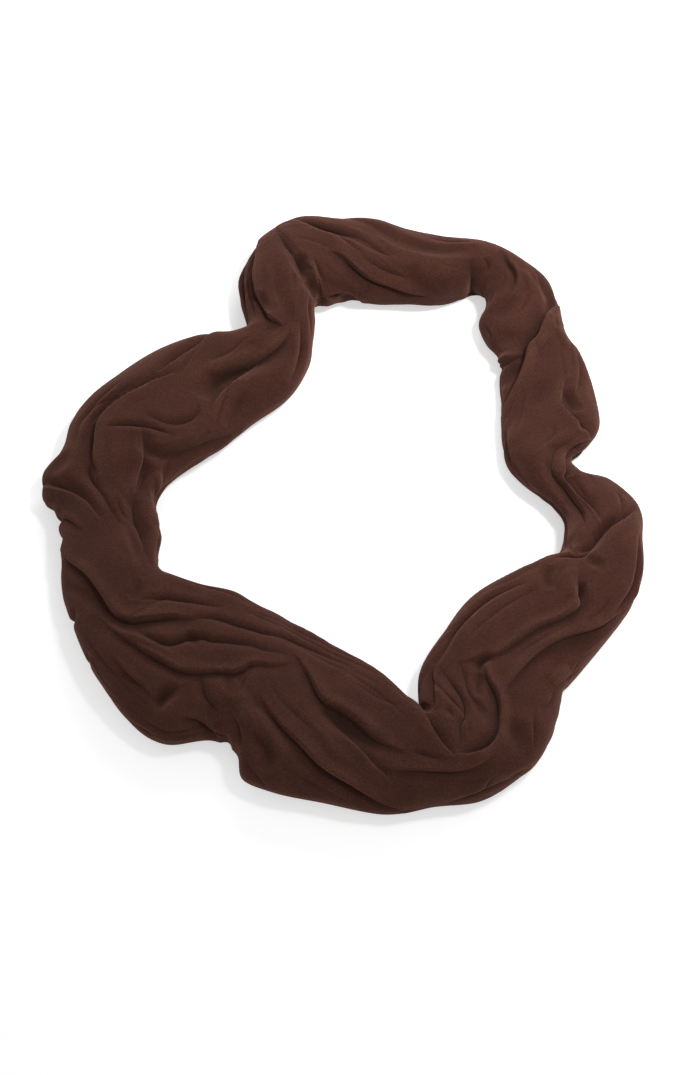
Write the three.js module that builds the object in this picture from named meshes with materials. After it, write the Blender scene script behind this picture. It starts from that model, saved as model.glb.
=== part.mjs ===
// Infinity scarf of brushed jersey: one closed loop, gathered and twisted, lying on a flat surface.
// Millimetres, +Z up, +X to the right and +Y towards the back. The origin is on the surface, under the
// middle of the loop. The hidden layers share one rounded solid for each stretch that shows.

import * as THREE from 'three';

// Middle of the loop in the plan coordinates that SECTIONS uses.
const LOOP_CENTRE = { x: 0, y: 11 };

// A section is a flattened dome that is widest a little above the surface it lies on.
const DOME_ROUNDNESS = 0.88;
const WIDEST_SHARE = 0.42;

// The folds fade out over this share of the half girth, towards the flat underside.
const FLOOR_FADE = 0.12;

// Steps of the surface, and the gap between two stretches. The steps across are closest at the crest,
// where this is their share of an even step.
const STEP_ALONG = 8.5;
const STEPS_ACROSS = 32;
const CREST_STEP_SHARE = 0.62;
const SEAM_GAP = 0.3;

// Half of the width over which a lap drops from its lip to its foot.
const LIP_HALF_STEP = 2.4;

// Folds grow smaller where sections stand closer together than this share of their distance at the crest.
const CROWDED_SHARE = 0.4;

const CLOTH = { color: 0x46302a, roughness: 0.95, metalness: 0 };

function table(columns, rows) {
  return rows.map((row) => Object.fromEntries(columns.map((name, index) => [name, row[index]])));
}

// Sections of the gathered cloth in plan, clockwise from the bend at the back left. Each row is the
// widest point towards the hole, the widest point away from it, and the height of the crest.
const SECTIONS = table(['innerX', 'innerY', 'outerX', 'outerY', 'height'], [
  // back left bend
  [-35, 180, -121, 217, 50],
  [-29, 214, -105, 224, 54],
  [-28, 242, -111, 258, 58],
  [-27, 260, -111, 296, 60],
  [-23, 265, -92, 340, 60],
  [-14, 263, -55, 369, 58],
  // back stretch
  [3, 268, -2, 372, 54],
  [35, 266, 38, 373, 50],
  [72, 264, 80, 358, 48],
  [112, 267, 116, 349, 48],
  // back right bend
  [148, 280, 158, 342, 50],
  [162, 276, 197, 318, 50],
  [160, 257, 228, 293, 46],
  [152, 238, 243, 263, 42],
  [160, 212, 249, 229, 40],
  // right stretch
  [175, 187, 262, 198, 38],
  [175, 146, 274, 151, 38],
  [175, 105, 279, 103, 40],
  [174, 74, 266, 76, 42],
  // right bend
  [179, 53, 249, 58, 42],
  [200, 27, 261, 37, 44],
  [224, 3, 288, 26, 46],
  [237, -20, 314, -5, 50],
  [234, -46, 317, -45, 54],
  [226, -64, 314, -90, 56],
  // front right stretch
  [200, -74, 302, -124, 56],
  [165, -96, 278, -160, 56],
  [131, -124, 248, -193, 56],
  [102, -162, 227, -222, 56],
  [83, -200, 219, -252, 56],
  [79, -232, 206, -286, 58],
  [80, -247, 184, -314, 60],
  // front stretch
  [74, -242, 142, -341, 60],
  [55, -221, 92, -348, 58],
  [26, -192, 42, -354, 56],
  [-10, -169, -20, -343, 56],
  [-45, -147, -68, -333, 56],
  [-66, -134, -98, -318, 56],
  // front left stretch
  [-88, -122, -106, -290, 56],
  [-114, -109, -130, -274, 56],
  [-146, -97, -178, -277, 56],
  [-175, -86, -218, -249, 56],
  [-189, -79, -250, -205, 56],
  [-190, -65, -275, -152, 56],
  // left stretch
  [-189, -45, -290, -108, 54],
  [-192, -25, -294, -62, 52],
  [-196, -5, -299, -14, 52],
  [-191, 15, -319, 31, 52],
  // back left stretch
  [-176, 36, -299, 66, 54],
  [-146, 57, -292, 102, 54],
  [-118, 81, -265, 145, 52],
  [-92, 110, -215, 186, 50],
  [-53, 143, -160, 212, 50],
]);
const ROW_COUNT = SECTIONS.length;

// Stretches of the loop, by section number. Each is one solid.
const STRETCHES = table(['name', 'firstRow', 'lastRow'], [
  ['back_left_bend', 0.4, 5.3],
  ['back_stretch', 5.3, 10],
  ['back_right_bend', 10, 15.1],
  ['right_stretch', 15.1, 19.2],
  ['right_bend', 19.2, 24.6],
  ['front_right_stretch', 24.6, 31.7],
  ['front_stretch', 31.7, 37.4],
  ['front_left_stretch', 37.4, 43.4],
  ['left_stretch', 43.4, 48.4],
  ['back_left_stretch', 48.4, 53.4],
]);

// Folds. A path is a list of places, each a section number and a place across: 0 is the crest of the
// dome, -1 the underside's edge at the hole and 1 its outer edge. A lap has a lip on the side that lies
// over and a drop beside it, a crease is a sharp valley, a trough a round one, and a ridge a roll. The
// size is its height or depth, and the reach how far it spreads from the path, both in millimetres.
const FOLDS = table(['kind', 'over', 'size', 'reach', 'deepest', 'path'], [
  // back left bend
  ['lap', 'inner', 13, 17, 0.75, [
    [4.4, 0.58], [4, 0.5], [3.3, 0.33], [2.5, 0.27], [1.7, 0.23], [1.1, 0.12], [0.6, -0.06],
  ]],
  ['crease', '', 4, 7, 0.5, [[3.2, 0.44], [2.3, 0.42], [1.6, 0.39], [1, 0.32]]],
  ['crease', '', 9, 12, 0.7, [[4.5, 0.44], [4.3, 0.2], [4.2, 0.04], [4.1, -0.12]]],
  ['trough', '', 15, 13, 0.5, [[4.3, -0.02], [4.1, -0.13], [3.9, -0.22], [3.7, -0.32]]],
  ['ridge', '', 6, 7, 0.5, [[4.65, -0.1], [4.5, -0.25], [4.4, -0.42], [4.4, -0.62]]],
  ['crease', '', 5, 6, 0.5, [[4.9, -0.12], [4.8, -0.3], [4.7, -0.52]]],
  ['trough', '', 6, 14, 0.6, [[3.6, -0.25], [3.3, -0.38], [3.1, -0.56]]],
  ['crease', '', 3, 8, 0.5, [[3.5, -0.12], [2.9, -0.17], [2.3, -0.17]]],
  ['trough', '', 3, 10, 0.5, [[2.1, -0.04], [1.4, -0.08], [0.8, -0.13]]],
  ['crease', '', 8, 12, 0.5, [[54.2, -0.25], [53.6, -0.32], [53, -0.42], [52.5, -0.46], [52, -0.47]]],
  ['lap', 'outer', 9, 9, 0.5, [[4.9, -0.6], [5.5, -0.57], [6.1, -0.6]]],
  ['trough', '', 9, 9, 0.5, [[2, 0.2], [1.5, 0.17], [1.1, 0.14]]],
  ['trough', '', 8, 10, 0.5, [[6.05, -0.55], [6.4, -0.75], [6.8, -0.8]]],
  ['lap', 'outer', 9, 14, 0.5, [[1.2, 0.5], [2.2, 0.6], [3.2, 0.7], [4.3, 0.74]]],
  ['crease', '', 7, 10, 0.5, [[3.6, 0.85], [4.6, 0.72], [5.6, 0.62], [6.6, 0.55]]],
  // back left stretch
  ['lap', 'outer', 14, 18, 0.55, [
    [53.5, -0.14], [53, -0.12], [52.4, -0.1], [51.9, -0.08], [51.5, -0.04], [51.1, -0.01],
  ]],
  ['trough', '', 14, 16, 0.65, [
    [52.5, -0.11], [51.8, -0.1], [51.3, -0.09], [50.9, -0.12], [50.5, -0.17],
  ]],
  ['lap', 'inner', 11, 14, 0.4, [[52, -0.11], [51.5, -0.15], [51, -0.18], [50.6, -0.22], [50.2, -0.28]]],
  ['trough', '', 6, 10, 0.5, [[51.3, -0.28], [50.9, -0.36], [50.4, -0.38], [50, -0.36]]],
  ['lap', 'inner', 9, 14, 0.6, [[52.7, 0.52], [52.1, 0.36], [51.6, 0.25], [51.1, 0.19], [50.6, 0.18]]],
  ['lap', 'inner', 13, 18, 0.5, [
    [50.8, 0.09], [50.3, 0.15], [49.6, 0.2], [49, 0.215], [48.4, 0.19], [47.8, 0.13], [47.1, 0.02],
    [46.6, 0.02],
  ]],
  ['crease', '', 6, 8, 0.5, [[50.3, 0.25], [49.6, 0.27], [48.9, 0.29], [48.2, 0.27], [47.5, 0.2]]],
  ['crease', '', 7, 9, 0.5, [[48.7, 0.17], [48.95, 0.06], [49.1, -0.05], [49.1, -0.22]]],
  ['crease', '', 6, 11, 0.7, [[49.5, 0.03], [49.4, -0.08], [49.5, -0.17], [49.85, -0.21], [50.2, -0.19]]],
  ['trough', '', 11, 13, 0.4, [
    [49, -0.03], [48.6, -0.1], [48.3, -0.19], [48.4, -0.33], [48.9, -0.42], [49.5, -0.5],
    [50.4, -0.68],
  ]],
  ['trough', '', 8, 14, 0.5, [[51.9, -0.06], [51, -0.06], [50.5, -0.1]]],
  ['trough', '', 9, 12, 0.5, [[51.3, -0.3], [50.9, -0.36], [50.5, -0.4], [50.1, -0.42]]],
  ['crease', '', 6, 8, 0.5, [[49.9, 0.25], [49.3, 0.35], [48.7, 0.33], [48.4, 0.3]]],
  ['crease', '', 7, 10, 0.5, [[46.2, 0.9], [47.4, 0.78], [48.6, 0.7], [49.8, 0.66]]],
  ['lap', 'inner', 8, 12, 0.5, [[49.2, 0.86], [50.4, 0.72], [51.6, 0.66], [52.6, 0.7]]],
  // left stretch
  ['lap', 'last', 7, 14, 0.4, [
    [46.8, 0.64], [46.55, 0.42], [46.3, 0.26], [46, 0.155], [45.7, 0.1], [45.3, 0.04],
  ]],
  ['crease', '', 9, 10, 0.15, [
    [47.3, 0.07], [46.8, 0.05], [46.3, 0.015], [45.8, -0.015], [45.3, -0.06], [44.8, -0.13],
  ]],
  ['crease', '', 9, 14, 0.6, [
    [47.4, -0.38], [46.8, -0.33], [46, -0.26], [45.2, -0.24], [44.4, -0.29], [43.6, -0.32],
    [42.8, -0.27],
  ]],
  ['lap', 'next', 5, 9, 0.4, [[45.95, 0.66], [45.7, 0.4], [45.4, 0.27], [45.1, 0.19]]],
  ['trough', '', 5, 16, 0.5, [[47.6, 0.25], [47.2, 0.35], [47, 0.5]]],
  ['ridge', '', 7, 14, 0.5, [[46.4, 0.45], [46.4, 0.7], [46.4, 0.9]]],
  ['trough', '', 7, 8, 0.5, [[45.8, 0.5], [45.8, 0.9]]],
  ['trough', '', 10, 14, 0.5, [
    [46.5, -0.27], [45.6, -0.24], [44.8, -0.27], [44, -0.33], [43.2, -0.34], [42.6, -0.3],
  ]],
  ['crease', '', 6, 9, 0.5, [[44.4, -0.72], [45.6, -0.76], [46.8, -0.7], [48, -0.74]]],
  // front left stretch
  ['lap', 'inner', 13, 17, 0.55, [
    [45.1, 0.64], [44.5, 0.37], [43.9, 0.21], [43.1, 0.13], [42.3, 0.08], [41.6, 0.01],
    [41, -0.06], [40.4, -0.13], [39.5, -0.17],
  ]],
  ['trough', '', 5, 11, 0.6, [[44.5, 0.52], [44, 0.42], [43.4, 0.28], [42.6, 0.15]]],
  ['crease', '', 7, 9, 0.4, [[41.8, -0.09], [41.3, -0.16], [40.7, -0.23], [40, -0.265], [39, -0.27]]],
  ['trough', '', 4, 10, 0.5, [[42.2, -0.04], [42, -0.12], [42.2, -0.2]]],
  ['crease', '', 9, 10, 0.3, [
    [41.6, 0.03], [41, 0.02], [40.3, 0], [39.7, -0.06], [39.2, -0.045], [38.5, -0.07],
    [37.6, -0.12], [36.6, -0.175], [35.8, -0.2],
  ]],
  ['lap', 'inner', 10, 12, 0.5, [
    [42.8, 0.27], [42.3, 0.18], [41.4, 0.105], [40.4, 0.085], [39.4, 0.1], [38.6, 0.09],
    [38, 0.02], [37.3, -0.065], [36.4, -0.1], [35.8, -0.17],
  ]],
  ['crease', '', 7, 9, 0.3, [
    [40.3, -0.15], [39.5, -0.175], [38.6, -0.18], [37.6, -0.225], [36.6, -0.29], [35.4, -0.325],
    [34.2, -0.33],
  ]],
  ['crease', '', 3, 6, 0.4, [[38.7, -0.29], [37.4, -0.35], [36.2, -0.39], [34.8, -0.39], [33.4, -0.42]]],
  ['crease', '', 8, 11, 0.5, [[39.4, 0.1], [39.35, 0.17], [39.2, 0.27], [38.8, 0.38]]],
  ['lap', 'inner', 5, 9, 0.5, [[41.7, 0.27], [41.2, 0.27], [40.7, 0.27], [40.3, 0.3]]],
  ['trough', '', 9, 11, 0.6, [[39.9, 0.17], [40.05, 0.24], [40.2, 0.3], [40.35, 0.35]]],
  ['lap', 'last', 8, 11, 0.6, [[39.7, 0.38], [39.35, 0.42], [39.05, 0.52], [38.75, 0.66]]],
  ['crease', '', 4, 7, 0.5, [[40.6, 0.5], [40, 0.53], [39.5, 0.51], [39.1, 0.53]]],
  ['ridge', '', 7, 12, 0.5, [
    [39, 0.14], [38.3, 0.17], [37.5, 0.18], [36.8, 0.16], [36.2, 0.21], [35.6, 0.3],
  ]],
  ['trough', '', 8, 14, 0.6, [[36.7, 0.2], [36.3, 0.27], [36.15, 0.34], [36.2, 0.44]]],
  ['trough', '', 7, 7, 0.5, [[43.15, 0.45], [43.1, 0.7], [43.1, 0.95]]],
  ['trough', '', 8, 9, 0.5, [[40, -0.07], [39.75, -0.05], [39.5, -0.03]]],
  ['lap', 'outer', 8, 12, 0.5, [[37.2, -0.45], [38.4, -0.42], [39.6, -0.42], [40.8, -0.46], [42, -0.55]]],
  ['crease', '', 6, 9, 0.5, [[38.8, -0.62], [40, -0.6], [41.2, -0.66]]],
  ['lap', 'outer', 8, 11, 0.5, [[42.6, -0.52], [43.6, -0.5], [44.8, -0.55], [46, -0.62]]],
  // front stretch
  ['lap', 'inner', 12, 16, 0.5, [
    [35.9, -0.22], [35.5, -0.15], [35.1, -0.04], [34.7, -0.02], [34.3, 0.01], [33.9, 0.075],
    [33.3, 0.125],
  ]],
  ['trough', '', 10, 15, 0.5, [[34.9, 0.02], [34.5, 0.06], [34.2, 0.12], [33.9, 0.2]]],
  ['lap', 'outer', 7, 13, 0.5, [[35, 0.02], [34.6, 0.09], [34.3, 0.16], [34.1, 0.23], [33.8, 0.32]]],
  ['lap', 'inner', 12, 15, 0.65, [
    [36.9, 0.04], [36.2, 0.11], [35.5, 0.2], [35, 0.31], [34.5, 0.4], [34, 0.55], [33.5, 0.64],
  ]],
  ['crease', '', 5, 7, 0.5, [[33.2, 0.11], [32.85, 0.14], [32.5, 0.16]]],
  ['lap', 'inner', 7, 13, 0.5, [[34, 0.24], [33.2, 0.25], [32.5, 0.26], [31.9, 0.25], [31.3, 0.23]]],
  ['crease', '', 4, 7, 0.5, [[31.2, 0.64], [31.8, 0.58], [32.4, 0.61], [32.8, 0.68]]],
  ['lap', 'outer', 9, 13, 0.5, [[32.6, -0.45], [33.8, -0.5], [35, -0.52], [36.2, -0.56], [37.4, -0.62]]],
  ['crease', '', 7, 9, 0.5, [[34, -0.7], [35.2, -0.68], [36.4, -0.72]]],
  // front right bend
  ['lap', 'next', 12, 15, 0.6, [[32, -0.62], [32.25, -0.25], [32.35, -0.06], [32.3, 0.05], [32.2, 0.14]]],
  ['crease', '', 9, 9, 0.7, [
    [28.9, -0.37], [29.3, -0.25], [29.8, -0.14], [30.4, -0.09], [31, -0.08], [31.4, -0.04],
    [31.8, 0.04], [32.1, 0.11],
  ]],
  ['crease', '', 4, 6, 0.5, [[28.65, -0.21], [29.05, -0.15], [29.5, -0.115]]],
  ['lap', 'outer', 13, 14, 0.55, [
    [28.3, -0.08], [28.85, -0.02], [29.4, 0.06], [30, 0.1], [30.6, 0.135], [31.2, 0.16],
    [31.75, 0.14], [32.1, 0.11],
  ]],
  ['trough', '', 10, 9, 0.5, [[28.2, -0.03], [28.5, -0.08], [28.8, -0.06]]],
  ['trough', '', 5, 17, 0.4, [[30, 0.13], [30.2, 0.21], [30.45, 0.3], [30.9, 0.38]]],
  ['lap', 'outer', 5, 10, 0.5, [[28.9, -0.43], [29.4, -0.38], [30, -0.34], [30.6, -0.34], [31.1, -0.4]]],
  ['lap', 'outer', 8, 11, 0.5, [[24.8, -0.42], [25.8, -0.5], [26.8, -0.58], [27.8, -0.62]]],
  ['crease', '', 6, 9, 0.5, [[26.2, -0.76], [27.4, -0.78], [28.6, -0.7]]],
  // front right stretch
  ['lap', 'inner', 10, 16, 0.55, [
    [25, 0.6], [25.6, 0.48], [26.1, 0.4], [26.7, 0.26], [27.3, 0.18], [28, 0.14], [28.7, 0.1],
    [29.4, 0.07],
  ]],
  ['trough', '', 5, 15, 0.4, [[26.2, 0.45], [26.7, 0.35], [27.2, 0.3], [27.7, 0.25]]],
  ['lap', 'inner', 11, 13, 0.2, [
    [25.3, 0], [25.6, 0.06], [25.9, 0.135], [26.4, 0.115], [27, 0.05], [27.6, 0.015],
    [28.1, -0.02], [28.5, -0.13], [28.75, -0.22],
  ]],
  ['trough', '', 12, 8, 0.5, [[25.35, 0.03], [25.6, 0.08], [25.9, 0.14]]],
  ['trough', '', 6, 11, 0.6, [[25.2, -0.22], [25.55, -0.16], [25.95, -0.05]]],
  ['ridge', '', 4, 9, 0.5, [[24.8, -0.09], [25.2, -0.05], [25.6, 0], [25.9, 0.05]]],
  ['crease', '', 7, 8, 0.55, [
    [25.9, -0.21], [26.5, -0.3], [27.1, -0.36], [27.8, -0.395], [28.4, -0.39], [28.9, -0.41],
  ]],
  ['ridge', '', 4, 9, 0.5, [[27.4, 0.46], [27.8, 0.42], [28.2, 0.37]]],
  ['trough', '', 6, 8, 0.5, [[27.85, 0.55], [27.9, 0.75], [27.95, 0.95]]],
  // right bend
  ['lap', 'inner', 11, 11, 0.5, [
    [17.8, 0.55], [18.3, 0.42], [19, 0.38], [19.6, 0.22], [20, 0.1], [20.5, -0.08], [21.1, -0.17],
    [21.6, -0.18], [22.2, -0.12], [22.95, 0],
  ]],
  ['crease', '', 11, 12, 0.5, [
    [18.7, 0.21], [19.3, 0.09], [19.9, -0.06], [20.4, -0.2], [21, -0.28], [21.6, -0.33],
    [22.2, -0.29], [22.7, -0.22], [23.2, -0.16],
  ]],
  ['lap', 'next', 10, 14, 0.6, [
    [22.2, 0.46], [22.6, 0.25], [22.95, 0.08], [23.4, -0.04], [23.8, -0.11], [24.15, -0.2],
  ]],
  ['trough', '', 11, 10, 0.5, [[22.5, 0.1], [22.9, 0], [23.4, -0.06], [24, -0.15], [24.3, -0.24]]],
  ['trough', '', 5, 10, 0.5, [[24.25, -0.1], [24.5, 0], [24.5, 0.1]]],
  ['crease', '', 3, 8, 0.5, [[24, 0.55], [24.6, 0.5], [25.2, 0.49]]],
  ['trough', '', 9, 11, 0.5, [[19.4, 0.06], [20.2, -0.14], [21, -0.28], [21.8, -0.32], [22.7, -0.22]]],
  ['lap', 'inner', 8, 13, 0.5, [[20.2, 0.55], [21, 0.5], [22, 0.55], [23, 0.66]]],
  ['crease', '', 6, 10, 0.5, [[22.4, 0.85], [23.6, 0.74], [24.8, 0.7]]],
  ['crease', '', 6, 9, 0.5, [[16.6, 0.88], [17.8, 0.78], [19, 0.74], [20, 0.8]]],
  ['lap', 'outer', 7, 10, 0.5, [[17.4, -0.5], [18.4, -0.46], [19.4, -0.5], [20.4, -0.58]]],
  ['crease', '', 6, 9, 0.5, [[20, -0.74], [21.2, -0.7], [22.4, -0.66], [23.4, -0.6]]],
  // right stretch
  ['lap', 'outer', 14, 18, 0.5, [
    [12.9, 0.8], [13.4, 0.36], [13.9, 0.19], [14.5, 0.04], [15, -0.12], [15.5, -0.2],
    [16.1, -0.35], [16.8, -0.64],
  ]],
  ['lap', 'last', 9, 12, 0.5, [[15.15, -0.78], [15.2, -0.5], [15.15, -0.34], [15.1, -0.18]]],
  ['trough', '', 9, 16, 0.4, [[15.3, -0.28], [15.6, -0.4], [16, -0.55]]],
  ['lap', 'inner', 9, 12, 0.5, [
    [15.9, 0.17], [16.3, 0.1], [16.7, 0.08], [17.1, 0.19], [17.5, 0.36], [17.8, 0.56],
  ]],
  ['lap', 'inner', 7, 10, 0.5, [[15, 0.48], [15.6, 0.38], [16, 0.3], [16.4, 0.2]]],
  ['trough', '', 10, 11, 0.5, [[16.2, 0.15], [16.55, 0.16], [16.9, 0.22]]],
  ['trough', '', 3, 15, 0.5, [[16, -0.06], [16.3, -0.05], [16.8, -0.12]]],
  ['trough', '', 4, 14, 0.5, [[13.6, 0.6], [14.2, 0.62], [14.8, 0.6]]],
  ['lap', 'last', 8, 9, 0.5, [[15.05, -0.7], [15.1, -0.5], [15.15, -0.3]]],
  ['lap', 'inner', 8, 12, 0.5, [[14.2, 0.85], [15.2, 0.72], [16.2, 0.66], [17.2, 0.7]]],
  // back right bend
  ['crease', '', 7, 13, 0.5, [[9.8, -0.06], [9.85, -0.25], [9.9, -0.42], [9.95, -0.62]]],
  ['crease', '', 5, 9, 0.5, [[10.25, -0.05], [10.5, -0.18], [10.6, -0.34]]],
  ['lap', 'outer', 8, 11, 0.5, [[10.7, 0.24], [11.1, 0.09], [11.6, 0.05], [12.1, 0], [12.8, -0.06]]],
  ['trough', '', 4, 15, 0.5, [[12.7, -0.03], [13.1, -0.12], [13.5, -0.26]]],
  ['trough', '', 8, 13, 0.6, [[12.1, 0.34], [12.6, 0.33], [13.1, 0.34], [13.6, 0.22]]],
  ['lap', 'inner', 6, 10, 0.5, [[11.5, 0.34], [12, 0.28], [12.5, 0.26], [13, 0.27]]],
  ['trough', '', 4, 14, 0.5, [[14.1, -0.42], [14.4, -0.25], [14.5, -0.1]]],
  ['crease', '', 6, 9, 0.5, [[11.2, 0.82], [12, 0.7], [12.9, 0.62]]],
  // back stretch
  ['crease', '', 9, 11, 0.4, [
    [4.8, 0.56], [5.4, 0.25], [6, 0.14], [6.5, 0.07], [7, -0.01], [7.6, -0.07],
  ]],
  ['trough', '', 9, 13, 0.6, [
    [6.4, 0.34], [7, 0.2], [7.8, 0.13], [8.6, 0.08], [9.4, 0.06], [10.2, -0.02],
  ]],
  ['lap', 'outer', 9, 15, 0.3, [
    [5.6, -0.05], [6, -0.11], [6.5, -0.24], [7, -0.35], [7.6, -0.42], [8.2, -0.51], [8.9, -0.6],
  ]],
  ['trough', '', 5, 15, 0.5, [[8, -0.12], [8.2, -0.28], [8.6, -0.4], [9.2, -0.42]]],
  ['lap', 'inner', 10, 15, 0.5, [[5.8, 0.78], [6.8, 0.7], [7.9, 0.58], [8.9, 0.5], [9.8, 0.46]]],
  ['trough', '', 6, 12, 0.5, [[7.2, 0.9], [8.2, 0.8], [9.3, 0.7]]],
  ['lap', 'inner', 8, 12, 0.4, [[9.2, 0.84], [10.2, 0.7], [11, 0.62], [11.8, 0.58]]],
]);

// Which way on the surface each side of a lap lies: by section number, and across.
const SIDES = {
  inner: [0, -1],
  outer: [0, 1],
  next: [1, 0],
  last: [-1, 0],
};

// Angle from the crest to the underside's edge, at which the dome comes down to the surface.
const EDGE_ANGLE = Math.PI - Math.acos((WIDEST_SHARE / (1 - WIDEST_SHARE)) ** (1 / DOME_ROUNDNESS));

// A smooth curve through four values, from the second to the third.
function throughPoints(a, b, c, d, t) {
  const bend = (c - a) * t + (2 * a - 5 * b + 4 * c - d) * t ** 2 + (3 * b - a - 3 * c + d) * t ** 3;
  return b + bend / 2;
}

function signedPower(value, power) {
  return Math.sign(value) * Math.abs(value) ** power;
}

function sectionAt(row) {
  const start = Math.floor(row);
  const [a, b, c, d] = [-1, 0, 1, 2].map((step) => SECTIONS[(start + step + ROW_COUNT) % ROW_COUNT]);
  const t = row - start;
  const entries = Object.keys(a).map((key) => [key, throughPoints(a[key], b[key], c[key], d[key], t)]);
  return Object.fromEntries(entries);
}

// A point of the smooth bundle, before its folds.
function domePoint(row, across) {
  const section = sectionAt(row);
  const angle = across * EDGE_ANGLE;
  const side = (1 + signedPower(Math.sin(angle), DOME_ROUNDNESS)) / 2;
  const rise = WIDEST_SHARE + (1 - WIDEST_SHARE) * signedPower(Math.cos(angle), DOME_ROUNDNESS);
  return new THREE.Vector3(
    THREE.MathUtils.lerp(section.innerX, section.outerX, side) - LOOP_CENTRE.x,
    THREE.MathUtils.lerp(section.innerY, section.outerY, side) - LOOP_CENTRE.y,
    Math.max(section.height * rise, 0),
  );
}

// The directions of the bundle's surface at a place: along the loop, across it, and outwards.
function domeFrame(row, across) {
  const rowStep = 0.02;
  const acrossStep = 0.004;
  const along = domePoint(row + rowStep, across).sub(domePoint(row - rowStep, across));
  const over = domePoint(row, across + acrossStep).sub(domePoint(row, across - acrossStep));
  along.divideScalar(2 * rowStep);
  over.divideScalar(2 * acrossStep);
  const outward = along.clone().cross(over).normalize();
  return { along, over, outward };
}

// A fold's path on the bundle, as short straight pieces with the direction to their left.
function foldPieces(fold) {
  const stepsPerPiece = 6;
  const path = fold.path;
  const last = path.length - 1;
  const before = path[0].map((value, axis) => 2 * value - path[1][axis]);
  const after = path[last].map((value, axis) => 2 * value - path[last - 1][axis]);
  const padded = [before, ...path, after];
  const places = [];
  for (let index = 0; index < last; index += 1) {
    for (let step = 0; step < stepsPerPiece; step += 1) {
      const four = [0, 1, 2, 3].map((offset) => padded[index + offset]);
      const t = step / stepsPerPiece;
      places.push([0, 1].map((axis) => throughPoints(...four.map((place) => place[axis]), t)));
    }
  }
  places.push(path[last]);

  const points = places.map(([row, across]) => domePoint(row, across));
  const pieces = [];
  let travelled = 0;
  for (let index = 0; index + 1 < points.length; index += 1) {
    const run = points[index + 1].clone().sub(points[index]);
    const length = run.length();
    const frame = domeFrame(...places[index]);
    const left = frame.outward.clone().cross(run).normalize();
    pieces.push({ row: places[index][0], start: points[index], run, length, left, frame, travelled });
    travelled += length;
  }
  return { pieces, length: travelled, box: new THREE.Box3().setFromPoints(points) };
}

function prepareFold(fold) {
  const { pieces, length, box } = foldPieces(fold);
  box.expandByScalar(fold.reach + 1);
  let sideSign = 1;
  if (fold.over) {
    const [rowWay, acrossWay] = SIDES[fold.over];
    const middle = pieces[Math.floor(pieces.length / 2)];
    const way = middle.frame.along.clone().multiplyScalar(rowWay);
    way.addScaledVector(middle.frame.over, acrossWay);
    sideSign = middle.left.dot(way) > 0 ? 1 : -1;
  }
  return { ...fold, pieces, length, box, sideSign };
}

const PREPARED_FOLDS = FOLDS.map(prepareFold);

// How many sections apart two section numbers are, the shorter way round the loop.
function rowsApart(rowA, rowB) {
  const apart = Math.abs(rowA - rowB) % ROW_COUNT;
  return Math.min(apart, ROW_COUNT - apart);
}

// The nearest place on a fold's path: its distance, signed by side, and its share of the path's length.
function nearestOnFold(fold, row, point) {
  const rowsInReach = 1.6;
  if (!fold.box.containsPoint(point)) return null;
  let best = null;
  for (const piece of fold.pieces) {
    if (rowsApart(row, piece.row) > rowsInReach) continue;
    const offset = point.clone().sub(piece.start);
    const share = THREE.MathUtils.clamp(offset.dot(piece.run) / piece.length ** 2, 0, 1);
    offset.addScaledVector(piece.run, -share);
    const distance = offset.length();
    if (best && distance >= best.distance) continue;
    const side = offset.dot(piece.left) >= 0 ? 1 : -1;
    const along = (piece.travelled + share * piece.length) / fold.length;
    best = { distance, along, signed: side * distance * fold.sideSign };
  }
  return best && best.distance < fold.reach ? best : null;
}

// A fold rises from nothing at its first end, is full where it is deepest and fades to its other end.
function foldStrength(along, deepest) {
  const shortestRise = 0.12;
  const fullness = 0.8;
  const rise = along / Math.max(deepest, shortestRise);
  const fall = (1 - along) / Math.max(1 - deepest, shortestRise);
  return Math.sin(Math.min(1, rise, fall) * Math.PI / 2) ** fullness;
}

// Height of a fold's surface over the bundle, at a signed distance from its path. Half of a lap's size
// stands up as its rounded lip, and the other half is the dip at its foot.
function foldHeight(fold, signed, size) {
  const ridgeRoundness = 1.3;
  const lipRounding = 0.22;
  const footNarrowing = 1.3;
  const away = Math.abs(signed) / fold.reach;
  const near = THREE.MathUtils.clamp(1 - away, 0, 1);
  const round = THREE.MathUtils.clamp(1 - away ** 2, 0, 1);
  if (fold.kind === 'trough') return -size * round ** 2;
  if (fold.kind === 'ridge') return size * round ** ridgeRoundness;
  if (fold.kind === 'crease') return -size * near ** 2;
  const lipShare = THREE.MathUtils.clamp(signed / fold.reach / lipRounding, 0, 1);
  const lip = (size / 2) * near ** 2 * (1 + 2 * away) * Math.sqrt(1 - (1 - lipShare) ** 2);
  const foot = (-size / 2) * THREE.MathUtils.clamp(1 - away * footNarrowing, 0, 1) ** 2;
  return THREE.MathUtils.lerp(foot, lip, THREE.MathUtils.smoothstep(signed, -LIP_HALF_STEP, LIP_HALF_STEP));
}

// A point of the cloth: the bundle, moved out or in by the folds near it.
function clothPoint(row, across) {
  const point = domePoint(row, across);
  const { along, outward } = domeFrame(row, across);
  let raised = 0;
  let sunk = 0;
  for (const fold of PREPARED_FOLDS) {
    const place = nearestOnFold(fold, row, point);
    if (!place) continue;
    const height = foldHeight(fold, place.signed, fold.size * foldStrength(place.along, fold.deepest));
    if (height > 0) raised += height;
    else sunk += Math.abs(height) ** 3;
  }
  const spread = along.length() / domeFrame(row, 0).along.length();
  const room = Math.min(1, spread / CROWDED_SHARE);
  const fade = THREE.MathUtils.clamp((1 - Math.abs(across)) / FLOOR_FADE, 0, 1);
  point.addScaledVector(outward, (raised - Math.cbrt(sunk)) * fade * room);
  point.z = Math.max(point.z, 0);
  return point;
}

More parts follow.
